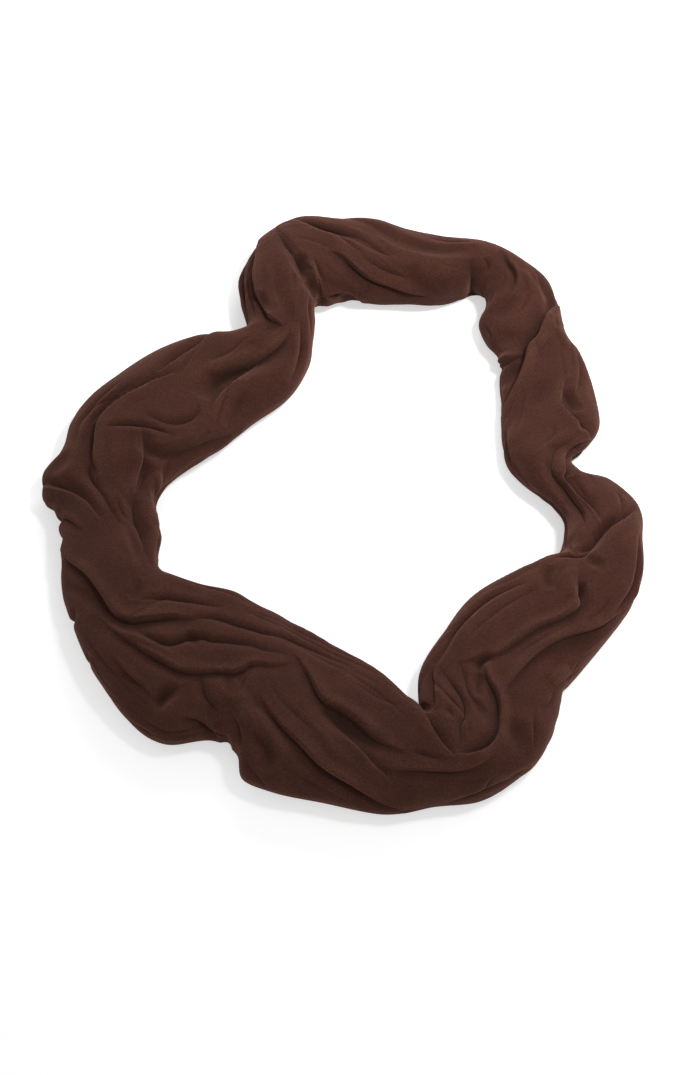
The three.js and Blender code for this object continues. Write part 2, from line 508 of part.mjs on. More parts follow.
// The places across a section, closest together at the crest.
function placesAcross() {
  return Array.from({ length: STEPS_ACROSS + 1 }, (_, step) => {
    const even = (2 * step) / STEPS_ACROSS - 1;
    return CREST_STEP_SHARE * even + (1 - CREST_STEP_SHARE) * even ** 3;
  });
}

// Section numbers from one to another that are evenly spaced along the crest.
function evenRows(firstRow, lastRow) {
  const samplesPerRow = 40;
  const samples = Math.ceil((lastRow - firstRow) * samplesPerRow);
  const rows = [firstRow];
  const travelled = [0];
  for (let index = 1; index <= samples; index += 1) {
    const row = THREE.MathUtils.lerp(firstRow, lastRow, index / samples);
    const step = domePoint(row, 0).distanceTo(domePoint(rows[index - 1], 0));
    rows.push(row);
    travelled.push(travelled[index - 1] + step);
  }
  const length = travelled[samples];
  const count = Math.round(length / STEP_ALONG);
  const even = [];
  let index = 0;
  for (let step = 0; step <= count; step += 1) {
    const goal = (length * step) / count;
    while (index < samples - 1 && travelled[index + 1] < goal) index += 1;
    const share = (goal - travelled[index]) / (travelled[index + 1] - travelled[index]);
    even.push(THREE.MathUtils.lerp(rows[index], rows[index + 1], THREE.MathUtils.clamp(share, 0, 1)));
  }
  return even;
}

// The level direction from one section to the next, square to the section.
function wayAhead(row) {
  const section = sectionAt(row);
  const across = new THREE.Vector3(section.outerX - section.innerX, section.outerY - section.innerY, 0);
  return new THREE.Vector3(across.y, -across.x, 0).normalize();
}

// The distance of a point ahead of the upright plane that a section lies in.
function distanceAhead(point, row) {
  return point.clone().sub(domePoint(row, 0)).dot(wayAhead(row));
}

// The rings of a stretch. Its end rings are level with their seam's plane, half a gap inside it, and the
// rings beside them stay clear of it.
function stretchRings(rows) {
  const last = rows.length - 1;
  const ringsKeptClear = 2;
  return rows.map((row, ring) => {
    const points = placesAcross().map((across) => clothPoint(row, across));
    for (const [end, sense, order] of [[0, 1, ring], [last, -1, last - ring]]) {
      if (order > ringsKeptClear) continue;
      const forward = wayAhead(rows[end]);
      for (const point of points) {
        const ahead = distanceAhead(point, rows[end]) * sense;
        const least = SEAM_GAP / 2 + order * SEAM_GAP;
        const wanted = order === 0 ? least : Math.max(ahead, least);
        point.addScaledVector(forward, (wanted - ahead) * sense);
      }
    }
    return points;
  });
}

// One stretch as a closed solid: the folded dome, its flat underside and its two ends.
function stretchGeometry({ firstRow, lastRow }) {
  const rows = evenRows(firstRow, lastRow);
  const points = stretchRings(rows).flat();
  const ringSize = STEPS_ACROSS + 1;
  const lastRing = rows.length - 1;

  const triangles = [];
  const quad = (a, b, c, d) => triangles.push(a, b, c, a, c, d);
  const at = (ring, step) => ring * ringSize + step;
  for (let ring = 0; ring < lastRing; ring += 1) {
    for (let step = 0; step < STEPS_ACROSS; step += 1) {
      quad(at(ring, step), at(ring + 1, step), at(ring + 1, step + 1), at(ring, step + 1));
    }
    quad(at(ring, STEPS_ACROSS), at(ring + 1, STEPS_ACROSS), at(ring + 1, 0), at(ring, 0));
  }

  // Each end is its section's outline, filled. The two ends of a seam are filled alike.
  for (const ring of [0, lastRing]) {
    const forward = wayAhead(rows[ring]);
    const outline = points.slice(at(ring, 0), at(ring, ringSize));
    const sideways = (point) => point.x * forward.y - point.y * forward.x;
    const flat = outline.map((point) => new THREE.Vector2(sideways(point), point.z));
    for (const corners of THREE.ShapeUtils.triangulateShape(flat, [])) {
      const clockwise = THREE.ShapeUtils.isClockWise(corners.map((corner) => flat[corner]));
      if (clockwise === (ring === 0)) corners.reverse();
      triangles.push(...corners.map((corner) => at(ring, corner)));
    }
  }

  const geometry = new THREE.BufferGeometry().setFromPoints(points);
  geometry.setIndex(triangles);
  geometry.computeVertexNormals();
  return geometry;
}

const scarf = new THREE.Group();
for (const stretch of STRETCHES) {
  const mesh = new THREE.Mesh(stretchGeometry(stretch), new THREE.MeshStandardMaterial(CLOTH));
  mesh.name = stretch.name;
  scarf.add(mesh);
}

export default scarf;
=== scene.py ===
"""Infinity scarf of brushed jersey: one closed loop, gathered and twisted, lying on a white surface.

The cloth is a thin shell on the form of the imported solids, one piece for each stretch of the loop. Its
creases, laps, troughs and rolls are rows of FOLDS. Sizes in the tables are millimetres, as is all the
working out of the shape; the meshes are in metres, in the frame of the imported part.
"""

import math

import bpy
import numpy as np
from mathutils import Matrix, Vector


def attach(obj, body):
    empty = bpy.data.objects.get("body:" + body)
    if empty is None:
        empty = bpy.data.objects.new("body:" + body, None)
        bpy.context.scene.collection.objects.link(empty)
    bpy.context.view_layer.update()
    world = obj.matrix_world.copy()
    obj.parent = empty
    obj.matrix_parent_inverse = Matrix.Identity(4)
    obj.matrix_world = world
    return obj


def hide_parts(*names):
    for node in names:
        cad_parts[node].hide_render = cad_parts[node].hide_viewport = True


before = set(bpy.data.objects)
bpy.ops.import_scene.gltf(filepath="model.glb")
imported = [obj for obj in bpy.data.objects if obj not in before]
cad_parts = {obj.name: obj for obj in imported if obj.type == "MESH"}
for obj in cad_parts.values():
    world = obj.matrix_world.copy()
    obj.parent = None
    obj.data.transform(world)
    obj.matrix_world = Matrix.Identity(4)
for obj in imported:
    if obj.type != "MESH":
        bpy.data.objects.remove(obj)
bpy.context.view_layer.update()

MM = 0.001

# Middle of the loop in the plan coordinates of SECTIONS.
LOOP_CENTRE = (0, 11)

# A section is a flattened dome that is widest a little above the surface it lies on.
DOME_ROUNDNESS = 0.88
WIDEST_SHARE = 0.42
EDGE_ANGLE = math.pi - math.acos((WIDEST_SHARE / (1 - WIDEST_SHARE)) ** (1 / DOME_ROUNDNESS))

# The folds of the top fade out over this share of the half girth, towards the surface below.
FLOOR_FADE = 0.1

# The mesh: the distance between its rows along the crest, and its columns over the top and underneath.
ROW_STEP = 1.2
TOP_COLUMNS = 208
UNDER_COLUMNS = 34

# The inner wall of the shell has one row for this many of the outer wall's.
INNER_STRIDE = 12
CLOTH_THICKNESS = 2.6

# Half the width over which a lap drops from its lip to its foot.
LIP_HALF_STEP = 1.5

# The loop is measured along its crest at this many places a stretch.
CREST_SAMPLES = 400

# A fold reaches places up to this many sections from its path.
ROWS_IN_REACH = 1.6


def table(columns, rows):
    return [dict(zip(columns, row)) for row in rows]


# Sections of the gathered cloth in plan, clockwise from the bend at the back left: the widest point
# towards the hole, the widest point away from it, and the height of the crest.
SECTIONS = table(["inner_x", "inner_y", "outer_x", "outer_y", "height"], [
    # back left bend
    [-35, 180, -121, 217, 50],
    [-29, 214, -105, 224, 54],
    [-28, 242, -111, 258, 58],
    [-27, 260, -111, 296, 60],
    [-23, 265, -92, 340, 60],
    [-14, 263, -55, 369, 58],
    # back stretch
    [3, 268, -2, 372, 54],
    [35, 266, 38, 373, 50],
    [72, 264, 80, 358, 48],
    [112, 267, 116, 349, 48],
    # back right bend
    [148, 280, 158, 342, 50],
    [162, 276, 197, 318, 50],
    [160, 257, 228, 293, 46],
    [152, 238, 243, 263, 42],
    [160, 212, 249, 229, 40],
    # right stretch
    [175, 187, 262, 198, 38],
    [175, 146, 274, 151, 38],
    [175, 105, 279, 103, 40],
    [174, 74, 266, 76, 42],
    # right bend
    [179, 53, 249, 58, 42],
    [200, 27, 261, 37, 44],
    [224, 3, 288, 26, 46],
    [237, -20, 314, -5, 50],
    [234, -46, 317, -45, 54],
    [226, -64, 314, -90, 56],
    # front right stretch
    [200, -74, 302, -124, 56],
    [165, -96, 278, -160, 56],
    [131, -124, 248, -193, 56],
    [102, -162, 227, -222, 56],
    [83, -200, 219, -252, 56],
    [79, -232, 206, -286, 58],
    [80, -247, 184, -314, 60],
    # front stretch
    [74, -242, 142, -341, 60],
    [55, -221, 92, -348, 58],
    [26, -192, 42, -354, 56],
    [-10, -169, -20, -343, 56],
    [-45, -147, -68, -333, 56],
    [-66, -134, -98, -318, 56],
    # front left stretch
    [-88, -122, -106, -290, 56],
    [-114, -109, -130, -274, 56],
    [-146, -97, -178, -277, 56],
    [-175, -86, -218, -249, 56],
    [-189, -79, -250, -205, 56],
    [-190, -65, -275, -152, 56],
    # left stretch
    [-189, -45, -290, -108, 54],
    [-192, -25, -294, -62, 52],
    [-196, -5, -299, -14, 52],
    [-191, 15, -319, 31, 52],
    # back left stretch
    [-176, 36, -299, 66, 54],
    [-146, 57, -292, 102, 54],
    [-118, 81, -265, 145, 52],
    [-92, 110, -215, 186, 50],
    [-53, 143, -160, 212, 50],
])

# Stretches of the loop by section number, with the cut of what shows: the way round the bundle and the
# way along it, in metres.
STRETCHES = table(["name", "first", "last", "girth", "length"], [
    ["back_left_bend", 0.4, 5.3, 0.27, 0.12],
    ["back_stretch", 5.3, 10, 0.26, 0.15],
    ["back_right_bend", 10, 15.1, 0.25, 0.13],
    ["right_stretch", 15.1, 19.2, 0.25, 0.13],
    ["right_bend", 19.2, 24.6, 0.26, 0.15],
    ["front_right_stretch", 24.6, 31.7, 0.38, 0.22],
    ["front_stretch", 31.7, 37.4, 0.42, 0.2],
    ["front_left_stretch", 37.4, 43.4, 0.4, 0.2],
    ["left_stretch", 43.4, 48.4, 0.32, 0.15],
    ["back_left_stretch", 48.4, 53.4, 0.34, 0.2],
])

# Folds. The size is the height or depth in mm, and the reach how far it spreads from the path. A path is
# a list of places, each a section number and a place across: 0 is the crest, -1 the underside's edge at
# the hole and 1 its outer edge. A fold is deepest halfway along, or at the share of its path in the last
# column. A lap has a lip on the side that lies over and a drop beside it.
LAPS = table(["over", "size", "reach", "path", "deepest"], [
    # back left bend
    ["inner", 13, 17, [
        [4.4, 0.58], [4, 0.5], [3.3, 0.33], [2.5, 0.27], [1.7, 0.23], [1.1, 0.12], [0.6, -0.06],
    ], 0.75],
    ["outer", 9, 9, [[4.9, -0.6], [5.5, -0.57], [6.1, -0.6]]],
    ["outer", 9, 14, [[1.2, 0.5], [2.2, 0.6], [3.2, 0.7], [4.3, 0.74]]],
    ["inner", 5, 7, [[2.9, 0.44], [2.1, 0.37], [1.2, 0.33], [0.6, 0.28]]],
    # back left stretch
    ["outer", 14, 18, [
        [53.5, -0.14], [53, -0.12], [52.4, -0.1], [51.9, -0.08], [51.5, -0.04], [51.1, -0.01],
    ], 0.55],
    ["inner", 11, 14, [[52, -0.11], [51.5, -0.15], [51, -0.18], [50.6, -0.22], [50.2, -0.28]], 0.4],
    ["inner", 9, 14, [[52.7, 0.52], [52.1, 0.36], [51.6, 0.25], [51.1, 0.19], [50.6, 0.18]], 0.6],
    ["inner", 13, 18, [
        [50.8, 0.09], [50.3, 0.15], [49.6, 0.2], [49, 0.215], [48.4, 0.19], [47.8, 0.13], [47.1, 0.02],
        [46.6, 0.02],
    ]],
    ["inner", 8, 12, [[49.2, 0.86], [50.4, 0.72], [51.6, 0.66], [52.6, 0.7]]],
    ["outer", 7, 12, [[49, -0.02], [48.4, -0.11], [47.7, -0.22], [46.9, -0.27], [46.1, -0.24]]],
    # left stretch
    ["last", 7, 14, [
        [46.8, 0.64], [46.55, 0.42], [46.3, 0.26], [46, 0.155], [45.7, 0.1], [45.3, 0.04],
    ], 0.4],
    ["next", 5, 9, [[45.95, 0.66], [45.7, 0.4], [45.4, 0.27], [45.1, 0.19]], 0.4],
    # front left stretch
    ["inner", 13, 17, [
        [45.1, 0.64], [44.5, 0.37], [43.9, 0.21], [43.1, 0.13], [42.3, 0.08], [41.6, 0.01], [41, -0.06],
        [40.4, -0.13], [39.5, -0.17],
    ], 0.55],
    ["inner", 10, 12, [
        [42.8, 0.27], [42.3, 0.18], [41.4, 0.105], [40.4, 0.085], [39.4, 0.1], [38.6, 0.08],
        [38.2, 0.04], [37.65, -0.02], [37.1, -0.07], [36.4, -0.11], [35.8, -0.17],
    ]],
    ["inner", 5, 9, [[41.7, 0.27], [41.2, 0.27], [40.7, 0.27], [40.3, 0.3]]],
    ["last", 8, 11, [[39.7, 0.38], [39.35, 0.42], [39.05, 0.52], [38.75, 0.66]], 0.6],
    ["outer", 8, 12, [[37.2, -0.45], [38.4, -0.42], [39.6, -0.42], [40.8, -0.46], [42, -0.55]]],
    ["outer", 8, 11, [[42.6, -0.52], [43.6, -0.5], [44.8, -0.55], [46, -0.62]]],
    ["inner", 4, 7, [[38.4, 0.3], [37.9, 0.34], [37.4, 0.42]]],
    # front stretch
    ["inner", 12, 16, [
        [35.9, -0.22], [35.5, -0.15], [35.1, -0.04], [34.7, -0.02], [34.3, 0.01], [33.9, 0.075],
        [33.3, 0.125],
    ]],
    ["outer", 7, 13, [[35, 0.02], [34.6, 0.09], [34.3, 0.16], [34.1, 0.23], [33.8, 0.32]]],
    ["inner", 12, 15, [
        [36.9, 0.04], [36.2, 0.11], [35.5, 0.2], [35, 0.31], [34.5, 0.4], [34, 0.55], [33.5, 0.64],
    ], 0.65],
    ["inner", 7, 13, [[34, 0.24], [33.2, 0.25], [32.5, 0.26], [31.9, 0.25], [31.3, 0.23]]],
    ["outer", 9, 13, [[32.6, -0.45], [33.8, -0.5], [35, -0.52], [36.2, -0.56], [37.4, -0.62]]],
    # front right bend
    ["next", 12, 15, [[32, -0.62], [32.25, -0.25], [32.35, -0.06], [32.3, 0.05], [32.2, 0.14]], 0.6],
    ["outer", 13, 14, [
        [28.3, -0.08], [28.85, -0.02], [29.4, 0.06], [30, 0.1], [30.6, 0.135], [31.2, 0.16],
        [31.75, 0.14], [32.1, 0.11],
    ], 0.55],
    ["outer", 5, 10, [[28.9, -0.43], [29.4, -0.38], [30, -0.34], [30.6, -0.34], [31.1, -0.4]]],
    ["outer", 8, 11, [[24.8, -0.42], [25.8, -0.5], [26.8, -0.58], [27.8, -0.62]]],
    # front right stretch
    ["inner", 10, 16, [
        [25, 0.6], [25.6, 0.48], [26.1, 0.4], [26.7, 0.26], [27.3, 0.18], [28, 0.14], [28.7, 0.1],
        [29.4, 0.07],
    ], 0.55],
    ["inner", 11, 13, [
        [25.3, 0], [25.6, 0.06], [25.9, 0.135], [26.4, 0.115], [27, 0.05], [27.6, 0.015], [28.1, -0.02],
        [28.5, -0.13], [28.75, -0.22],
    ], 0.2],
    # right bend
    ["inner", 11, 11, [
        [17.8, 0.55], [18.3, 0.42], [19, 0.38], [19.6, 0.22], [20, 0.1], [20.5, -0.08], [21.1, -0.17],
        [21.6, -0.18], [22.2, -0.12], [22.95, 0],
    ]],
    ["next", 10, 14, [
        [22.2, 0.46], [22.6, 0.25], [22.95, 0.08], [23.4, -0.04], [23.8, -0.11], [24.15, -0.2],
    ], 0.6],
    ["inner", 8, 13, [[20.2, 0.55], [21, 0.5], [22, 0.55], [23, 0.66]]],
    ["outer", 7, 10, [[17.4, -0.5], [18.4, -0.46], [19.4, -0.5], [20.4, -0.58]]],
    # right stretch
    ["outer", 14, 18, [
        [13.05, 0.68], [13.4, 0.36], [13.9, 0.19], [14.5, 0.04], [15, -0.12], [15.5, -0.2],
        [16.1, -0.35], [16.8, -0.64],
    ]],
    ["last", 9, 12, [[15.15, -0.78], [15.2, -0.5], [15.15, -0.34], [15.1, -0.18]]],
    ["inner", 9, 12, [[15.9, 0.17], [16.3, 0.1], [16.7, 0.08], [17.1, 0.19], [17.5, 0.36], [17.8, 0.56]]],
    ["inner", 7, 10, [[15, 0.48], [15.6, 0.38], [16, 0.3], [16.4, 0.2]]],
    ["last", 8, 9, [[15.05, -0.7], [15.1, -0.5], [15.15, -0.3]]],
    ["inner", 8, 12, [[14.2, 0.85], [15.2, 0.72], [16.2, 0.66], [17.2, 0.7]]],
    # back right bend
    ["outer", 8, 11, [[10.7, 0.24], [11.1, 0.09], [11.6, 0.05], [12.1, 0], [12.8, -0.06]]],
    ["inner", 6, 10, [[11.5, 0.34], [12, 0.28], [12.5, 0.26], [13, 0.27]]],
    # back stretch
    ["outer", 9, 15, [
        [5.6, -0.05], [6, -0.11], [6.5, -0.24], [7, -0.35], [7.6, -0.42], [8.2, -0.51], [8.9, -0.6],
    ], 0.3],
    ["inner", 6, 14, [[5.8, 0.78], [6.8, 0.7], [7.9, 0.58], [8.9, 0.5], [9.8, 0.46]]],
    ["inner", 6, 12, [[9.2, 0.84], [10.2, 0.7], [11, 0.62], [11.8, 0.58]], 0.4],
])

# Sharp valleys.
CREASES = table(["size", "reach", "path", "deepest"], [
    # back left bend
    [4, 7, [[3.2, 0.44], [2.3, 0.42], [1.6, 0.39], [1, 0.32]]],
    [9, 12, [[4.5, 0.44], [4.3, 0.2], [4.2, 0.04], [4.1, -0.12]], 0.7],
    [5, 6, [[4.9, -0.12], [4.8, -0.3], [4.7, -0.52]]],
    [3, 8, [[3.5, -0.12], [2.9, -0.17], [2.3, -0.17]]],
    [8, 12, [[54.2, -0.25], [53.6, -0.32], [53, -0.42], [52.5, -0.46], [52, -0.47]]],
    [4, 6, [[2.8, 0.62], [2.2, 0.6], [1.6, 0.56], [1.1, 0.5]]],
    [7, 10, [[3.6, 0.85], [4.6, 0.72], [5.6, 0.62], [6.6, 0.55]]],
    [3, 6, [[2.9, -0.42], [2.2, -0.4], [1.5, -0.44], [0.8, -0.5]]],
    [3, 5, [[2.6, 0.33], [1.9, 0.26], [1.3, 0.18]]],
    [6, 6, [[4.06, -0.03], [3.9, -0.23], [3.2, -0.3]]],
    [6, 6, [[4.7, -0.11], [4.6, -0.31], [4.1, -0.6]]],
    # back left stretch
    [6, 8, [[50.3, 0.25], [49.6, 0.27], [48.9, 0.29], [48.2, 0.27], [47.5, 0.2]]],
    [7, 9, [[48.7, 0.17], [48.95, 0.06], [49.1, -0.05], [49.1, -0.22]]],
    [6, 11, [[49.5, 0.03], [49.4, -0.08], [49.5, -0.17], [49.85, -0.21], [50.2, -0.19]], 0.7],
    [6, 8, [[49.9, 0.25], [49.3, 0.35], [48.7, 0.33], [48.4, 0.3]]],
    [4, 6, [[50.2, 0.34], [49.6, 0.36], [49, 0.38], [48.4, 0.36], [47.8, 0.3]]],
    [4, 6, [[49.3, 0.24], [48.6, 0.24], [48, 0.22]]],
    [7, 10, [[46.2, 0.9], [47.4, 0.78], [48.6, 0.7], [49.8, 0.66]]],
    [4, 7, [[51.9, 0.3], [51.3, 0.16], [50.8, 0.06]]],
    [3, 6, [[52.6, 0.12], [52, 0.06], [51.4, 0.04]]],
    [6, 7, [[48.1, -0.27], [48.5, -0.35], [49.1, -0.44], [49.6, -0.51], [50.2, -0.63]], 0.4],
    [4, 6, [[49.1, -0.05], [49.1, -0.13], [49, -0.2]]],
    [4, 6, [[50.3, -0.16], [49.9, -0.21], [49.5, -0.21]]],
    [3, 5, [[49, 0.25], [49.7, 0.23], [50, 0.17], [50.4, 0.13]]],
    [3, 5, [[49.2, 0.32], [49.8, 0.3], [50.1, 0.23], [50.4, 0.16]]],
    [5, 7, [[51.1, 0], [51.4, -0.06], [51.7, -0.11]]],
    [5, 7, [[51.8, -0.09], [51.3, -0.16], [50.6, -0.27], [49.8, -0.39]], 0.4],
    # left stretch
    [9, 10, [
        [47.3, 0.07], [46.8, 0.05], [46.3, 0.015], [45.8, -0.015], [45.3, -0.06], [44.8, -0.13],
    ], 0.15],
    [9, 14, [
        [47.4, -0.38], [46.8, -0.33], [46, -0.26], [45.2, -0.24], [44.4, -0.29], [43.6, -0.32],
        [42.8, -0.27],
    ], 0.6],
    [3, 5, [[45.2, -0.58], [44.4, -0.6], [43.6, -0.62], [42.8, -0.64]]],
    [5, 8, [[47.9, 0.5], [47.4, 0.62], [47.1, 0.8]]],
    [4, 7, [[46, -0.08], [45.4, -0.12], [44.9, -0.2]]],
    [6, 9, [[44.4, -0.72], [45.6, -0.76], [46.8, -0.7], [48, -0.74]]],
    # front left stretch
    [7, 9, [[41.8, -0.09], [41.3, -0.16], [40.7, -0.23], [40, -0.265], [39, -0.27]], 0.4],
    [9, 10, [
        [41.6, 0.03], [41, 0.02], [40.3, 0], [39.7, -0.06], [39.2, -0.045], [38.5, -0.07],
        [37.6, -0.12], [36.6, -0.175], [35.8, -0.2],
    ], 0.3],
    [7, 9, [
        [40.3, -0.15], [39.5, -0.175], [38.6, -0.18], [37.6, -0.225], [36.6, -0.29], [35.4, -0.325],
        [34.2, -0.33],
    ], 0.3],
    [2, 6, [[38.7, -0.29], [37.4, -0.35], [36.2, -0.39], [34.8, -0.39], [33.4, -0.42]], 0.4],
    [8, 11, [[39.4, 0.1], [39.35, 0.17], [39.2, 0.27], [38.8, 0.38]]],
    [4, 7, [[40.6, 0.5], [40, 0.53], [39.5, 0.51], [39.1, 0.53]]],
    [6, 9, [[38.8, -0.62], [40, -0.6], [41.2, -0.66]]],
    [3, 6, [[42.6, 0.42], [41.9, 0.38], [41.2, 0.36], [40.7, 0.38]]],
    [2, 6, [[38, -0.36], [36.8, -0.42], [35.6, -0.45], [34.4, -0.46], [33.4, -0.5]]],
    [4, 7, [[41.5, -0.07], [41, -0.18], [40.6, -0.3]]],
    [3, 5, [[41.7, 0.38], [41.3, 0.33], [40.9, 0.29], [40.5, 0.24]]],
    [3, 5, [[41, 0.67], [40.4, 0.62], [40, 0.59], [39.5, 0.58], [38.8, 0.58]]],
    [4, 6, [[42.6, 0.3], [41.8, 0.13], [40.7, 0.05], [39.8, 0.05]]],
    [4, 5, [[39.4, 0.38], [39, 0.54], [38.5, 0.6]]],
    # front stretch
    [5, 7, [[33.2, 0.11], [32.85, 0.14], [32.5, 0.16]]],
    [4, 7, [[31.2, 0.64], [31.8, 0.58], [32.4, 0.61], [32.8, 0.68]]],
    [3, 5, [[33.8, 0.66], [33.3, 0.72], [32.9, 0.74]]],
    [7, 9, [[34, -0.7], [35.2, -0.68], [36.4, -0.72]]],
    [3, 7, [[36.6, -0.02], [35.9, 0.04], [35.2, 0.12], [34.8, 0.2]]],
    [3, 7, [[35.9, 0.36], [35.4, 0.42], [34.9, 0.5], [34.4, 0.62]]],
    [2.5, 6, [[33, 0.36], [32.3, 0.38], [31.7, 0.4]]],
    [2.5, 6, [[34.4, -0.2], [33.7, -0.16], [33, -0.2]]],
    [3, 6, [[36.9, 0.44], [36.5, 0.5], [36.1, 0.62]]],
    [4, 6, [[35.1, -0.01], [34.7, 0.01], [34.3, 0.04], [33.8, 0.09]], 0.4],
    [2, 5, [[37.5, -0.24], [36.2, -0.27], [35.5, -0.28], [34.9, -0.27], [34.2, -0.25]]],
    [2.5, 5, [[34.7, -0.27], [34.1, -0.22], [33.5, -0.17], [33, -0.09]]],
    [3, 6, [[37.6, 0.02], [37.9, 0.08], [38, 0.16]]],
    [5, 6, [[35, 0.31], [34.6, 0.4], [34.2, 0.47], [33.8, 0.58]]],
    # front right bend
    [9, 9, [
        [28.9, -0.37], [29.3, -0.25], [29.8, -0.14], [30.4, -0.09], [31, -0.08], [31.4, -0.04],
        [31.8, 0.04], [32.1, 0.11],
    ], 0.7],
    [4, 6, [[28.65, -0.21], [29.05, -0.15], [29.5, -0.115]]],
    [2.5, 5, [[31.7, 0.42], [31.85, 0.5], [32, 0.6]]],
    [4, 7, [[30.6, -0.22], [30.9, -0.16], [31.1, -0.12]]],
    [3, 6, [[29.4, 0.3], [29.9, 0.36], [30.4, 0.46]]],
    [6, 9, [[26.2, -0.76], [27.4, -0.78], [28.6, -0.7]]],
    [5, 6, [[29.2, -0.27], [29.7, -0.14], [30.2, -0.1], [31, -0.08], [31.7, 0.02], [32, 0.12]]],
    [5, 6, [[28.8, -0.14], [29.3, -0.12], [29.7, -0.07], [29.9, 0]]],
    [2.5, 5, [[30.8, 0.68], [31.1, 0.62], [31.4, 0.57]]],
    [4, 5, [[28.9, -0.42], [29.3, -0.41], [29.8, -0.26], [30.4, -0.11], [31.8, 0.07]]],
    # front right stretch
    [7, 8, [
        [25.9, -0.21], [26.5, -0.3], [27.1, -0.36], [27.8, -0.395], [28.4, -0.39], [28.9, -0.41],
    ], 0.55],
    [3, 7, [[25.9, -0.1], [26.6, -0.16], [27.4, -0.2], [28.1, -0.24]]],
    [3, 6, [[26.2, 0.24], [26.9, 0.16], [27.6, 0.1], [28.2, 0.06]]],
    [2.5, 6, [[25.3, 0.28], [25.8, 0.3], [26.3, 0.26]]],
    [3, 6, [[28.4, 0.46], [28.9, 0.42], [29.3, 0.34]]],
    # right bend
    [11, 12, [
        [18.7, 0.21], [19.3, 0.09], [19.9, -0.06], [20.4, -0.2], [21, -0.28], [21.6, -0.33],
        [22.2, -0.29], [22.7, -0.22], [23.2, -0.16],
    ]],
    [3, 8, [[24, 0.55], [24.6, 0.5], [25.2, 0.49]]],
    [4, 6, [[22.5, -0.6], [23.2, -0.54], [23.8, -0.5]]],
    [3, 5, [[24.3, 0.5], [24.9, 0.46], [25.6, 0.42]]],
    [6, 10, [[22.4, 0.85], [23.6, 0.74], [24.8, 0.7]]],
    [6, 9, [[16.6, 0.88], [17.8, 0.78], [19, 0.74], [20, 0.8]]],
    [6, 9, [[20, -0.74], [21.2, -0.7], [22.4, -0.66], [23.4, -0.6]]],
    [4, 6, [[20.6, 0.02], [21.2, -0.08], [21.8, -0.1]]],
    [3, 6, [[21.6, 0.26], [22.1, 0.2], [22.5, 0.16]]],
    [5, 6, [[23, 0.42], [24, 0.43], [24.7, 0.46], [25.5, 0.44]]],
    [6, 7, [[18.5, 0.5], [19.9, 0.11], [20.8, -0.17], [21.7, -0.21], [22.9, -0.08]]],
    [5, 7, [[17.7, 0.34], [18.9, 0.2], [20, -0.08], [20.9, -0.33], [21.9, -0.37], [23.3, -0.12]]],
    [8, 6, [[24.9, -0.3], [24.6, -0.24], [24.4, -0.12], [23.8, -0.1], [23.2, -0.01]]],
    [4, 5, [[23.7, -0.4], [24.2, -0.24], [24.5, -0.06]]],
    # right stretch
    [3, 6, [[16.2, -0.2], [16.8, -0.26], [17.5, -0.3]]],
    [3, 6, [[17.4, 0.02], [18, 0.06], [18.6, 0.02]]],
    [3, 7, [[14.2, 0.02], [14.8, -0.02], [15.4, -0.04]]],
    # back right bend
    [11, 13, [[9.8, -0.06], [9.85, -0.25], [9.9, -0.42], [9.95, -0.62], [10, -1]], 0.8],
    [5, 9, [[10.25, -0.05], [10.5, -0.18], [10.6, -0.34]]],
    [6, 9, [[11.2, 0.82], [12, 0.7], [12.9, 0.62]]],
    [3, 6, [[11.2, -0.06], [11.8, -0.12], [12.4, -0.18]]],
    [3, 6, [[12.8, 0.1], [13.2, 0.04], [13.6, -0.04]]],
    [3, 5, [[13.4, -0.5], [13.9, -0.46], [14.4, -0.5]]],
    # back stretch
    [9, 11, [[4.8, 0.56], [5.4, 0.25], [6, 0.14], [6.5, 0.07], [7, -0.01], [7.6, -0.07]], 0.4],
    [2, 7, [[6.6, 0.2], [7.3, 0.1], [8, 0.04], [8.7, 0.02]]],
    [3, 7, [[6.6, -0.1], [7.2, -0.2], [7.8, -0.26], [8.4, -0.3]]],
    [3, 6, [[8.6, 0.3], [9.2, 0.26], [9.8, 0.2]]],
    [6, 7, [[5.3, 0.3], [5.9, 0.14], [6.4, 0.05], [6.9, -0.02], [7.6, -0.07]], 0.4],
    [4, 6, [[5, 0.24], [5.7, 0.14], [6.2, 0.02], [6.8, -0.1]]],
])

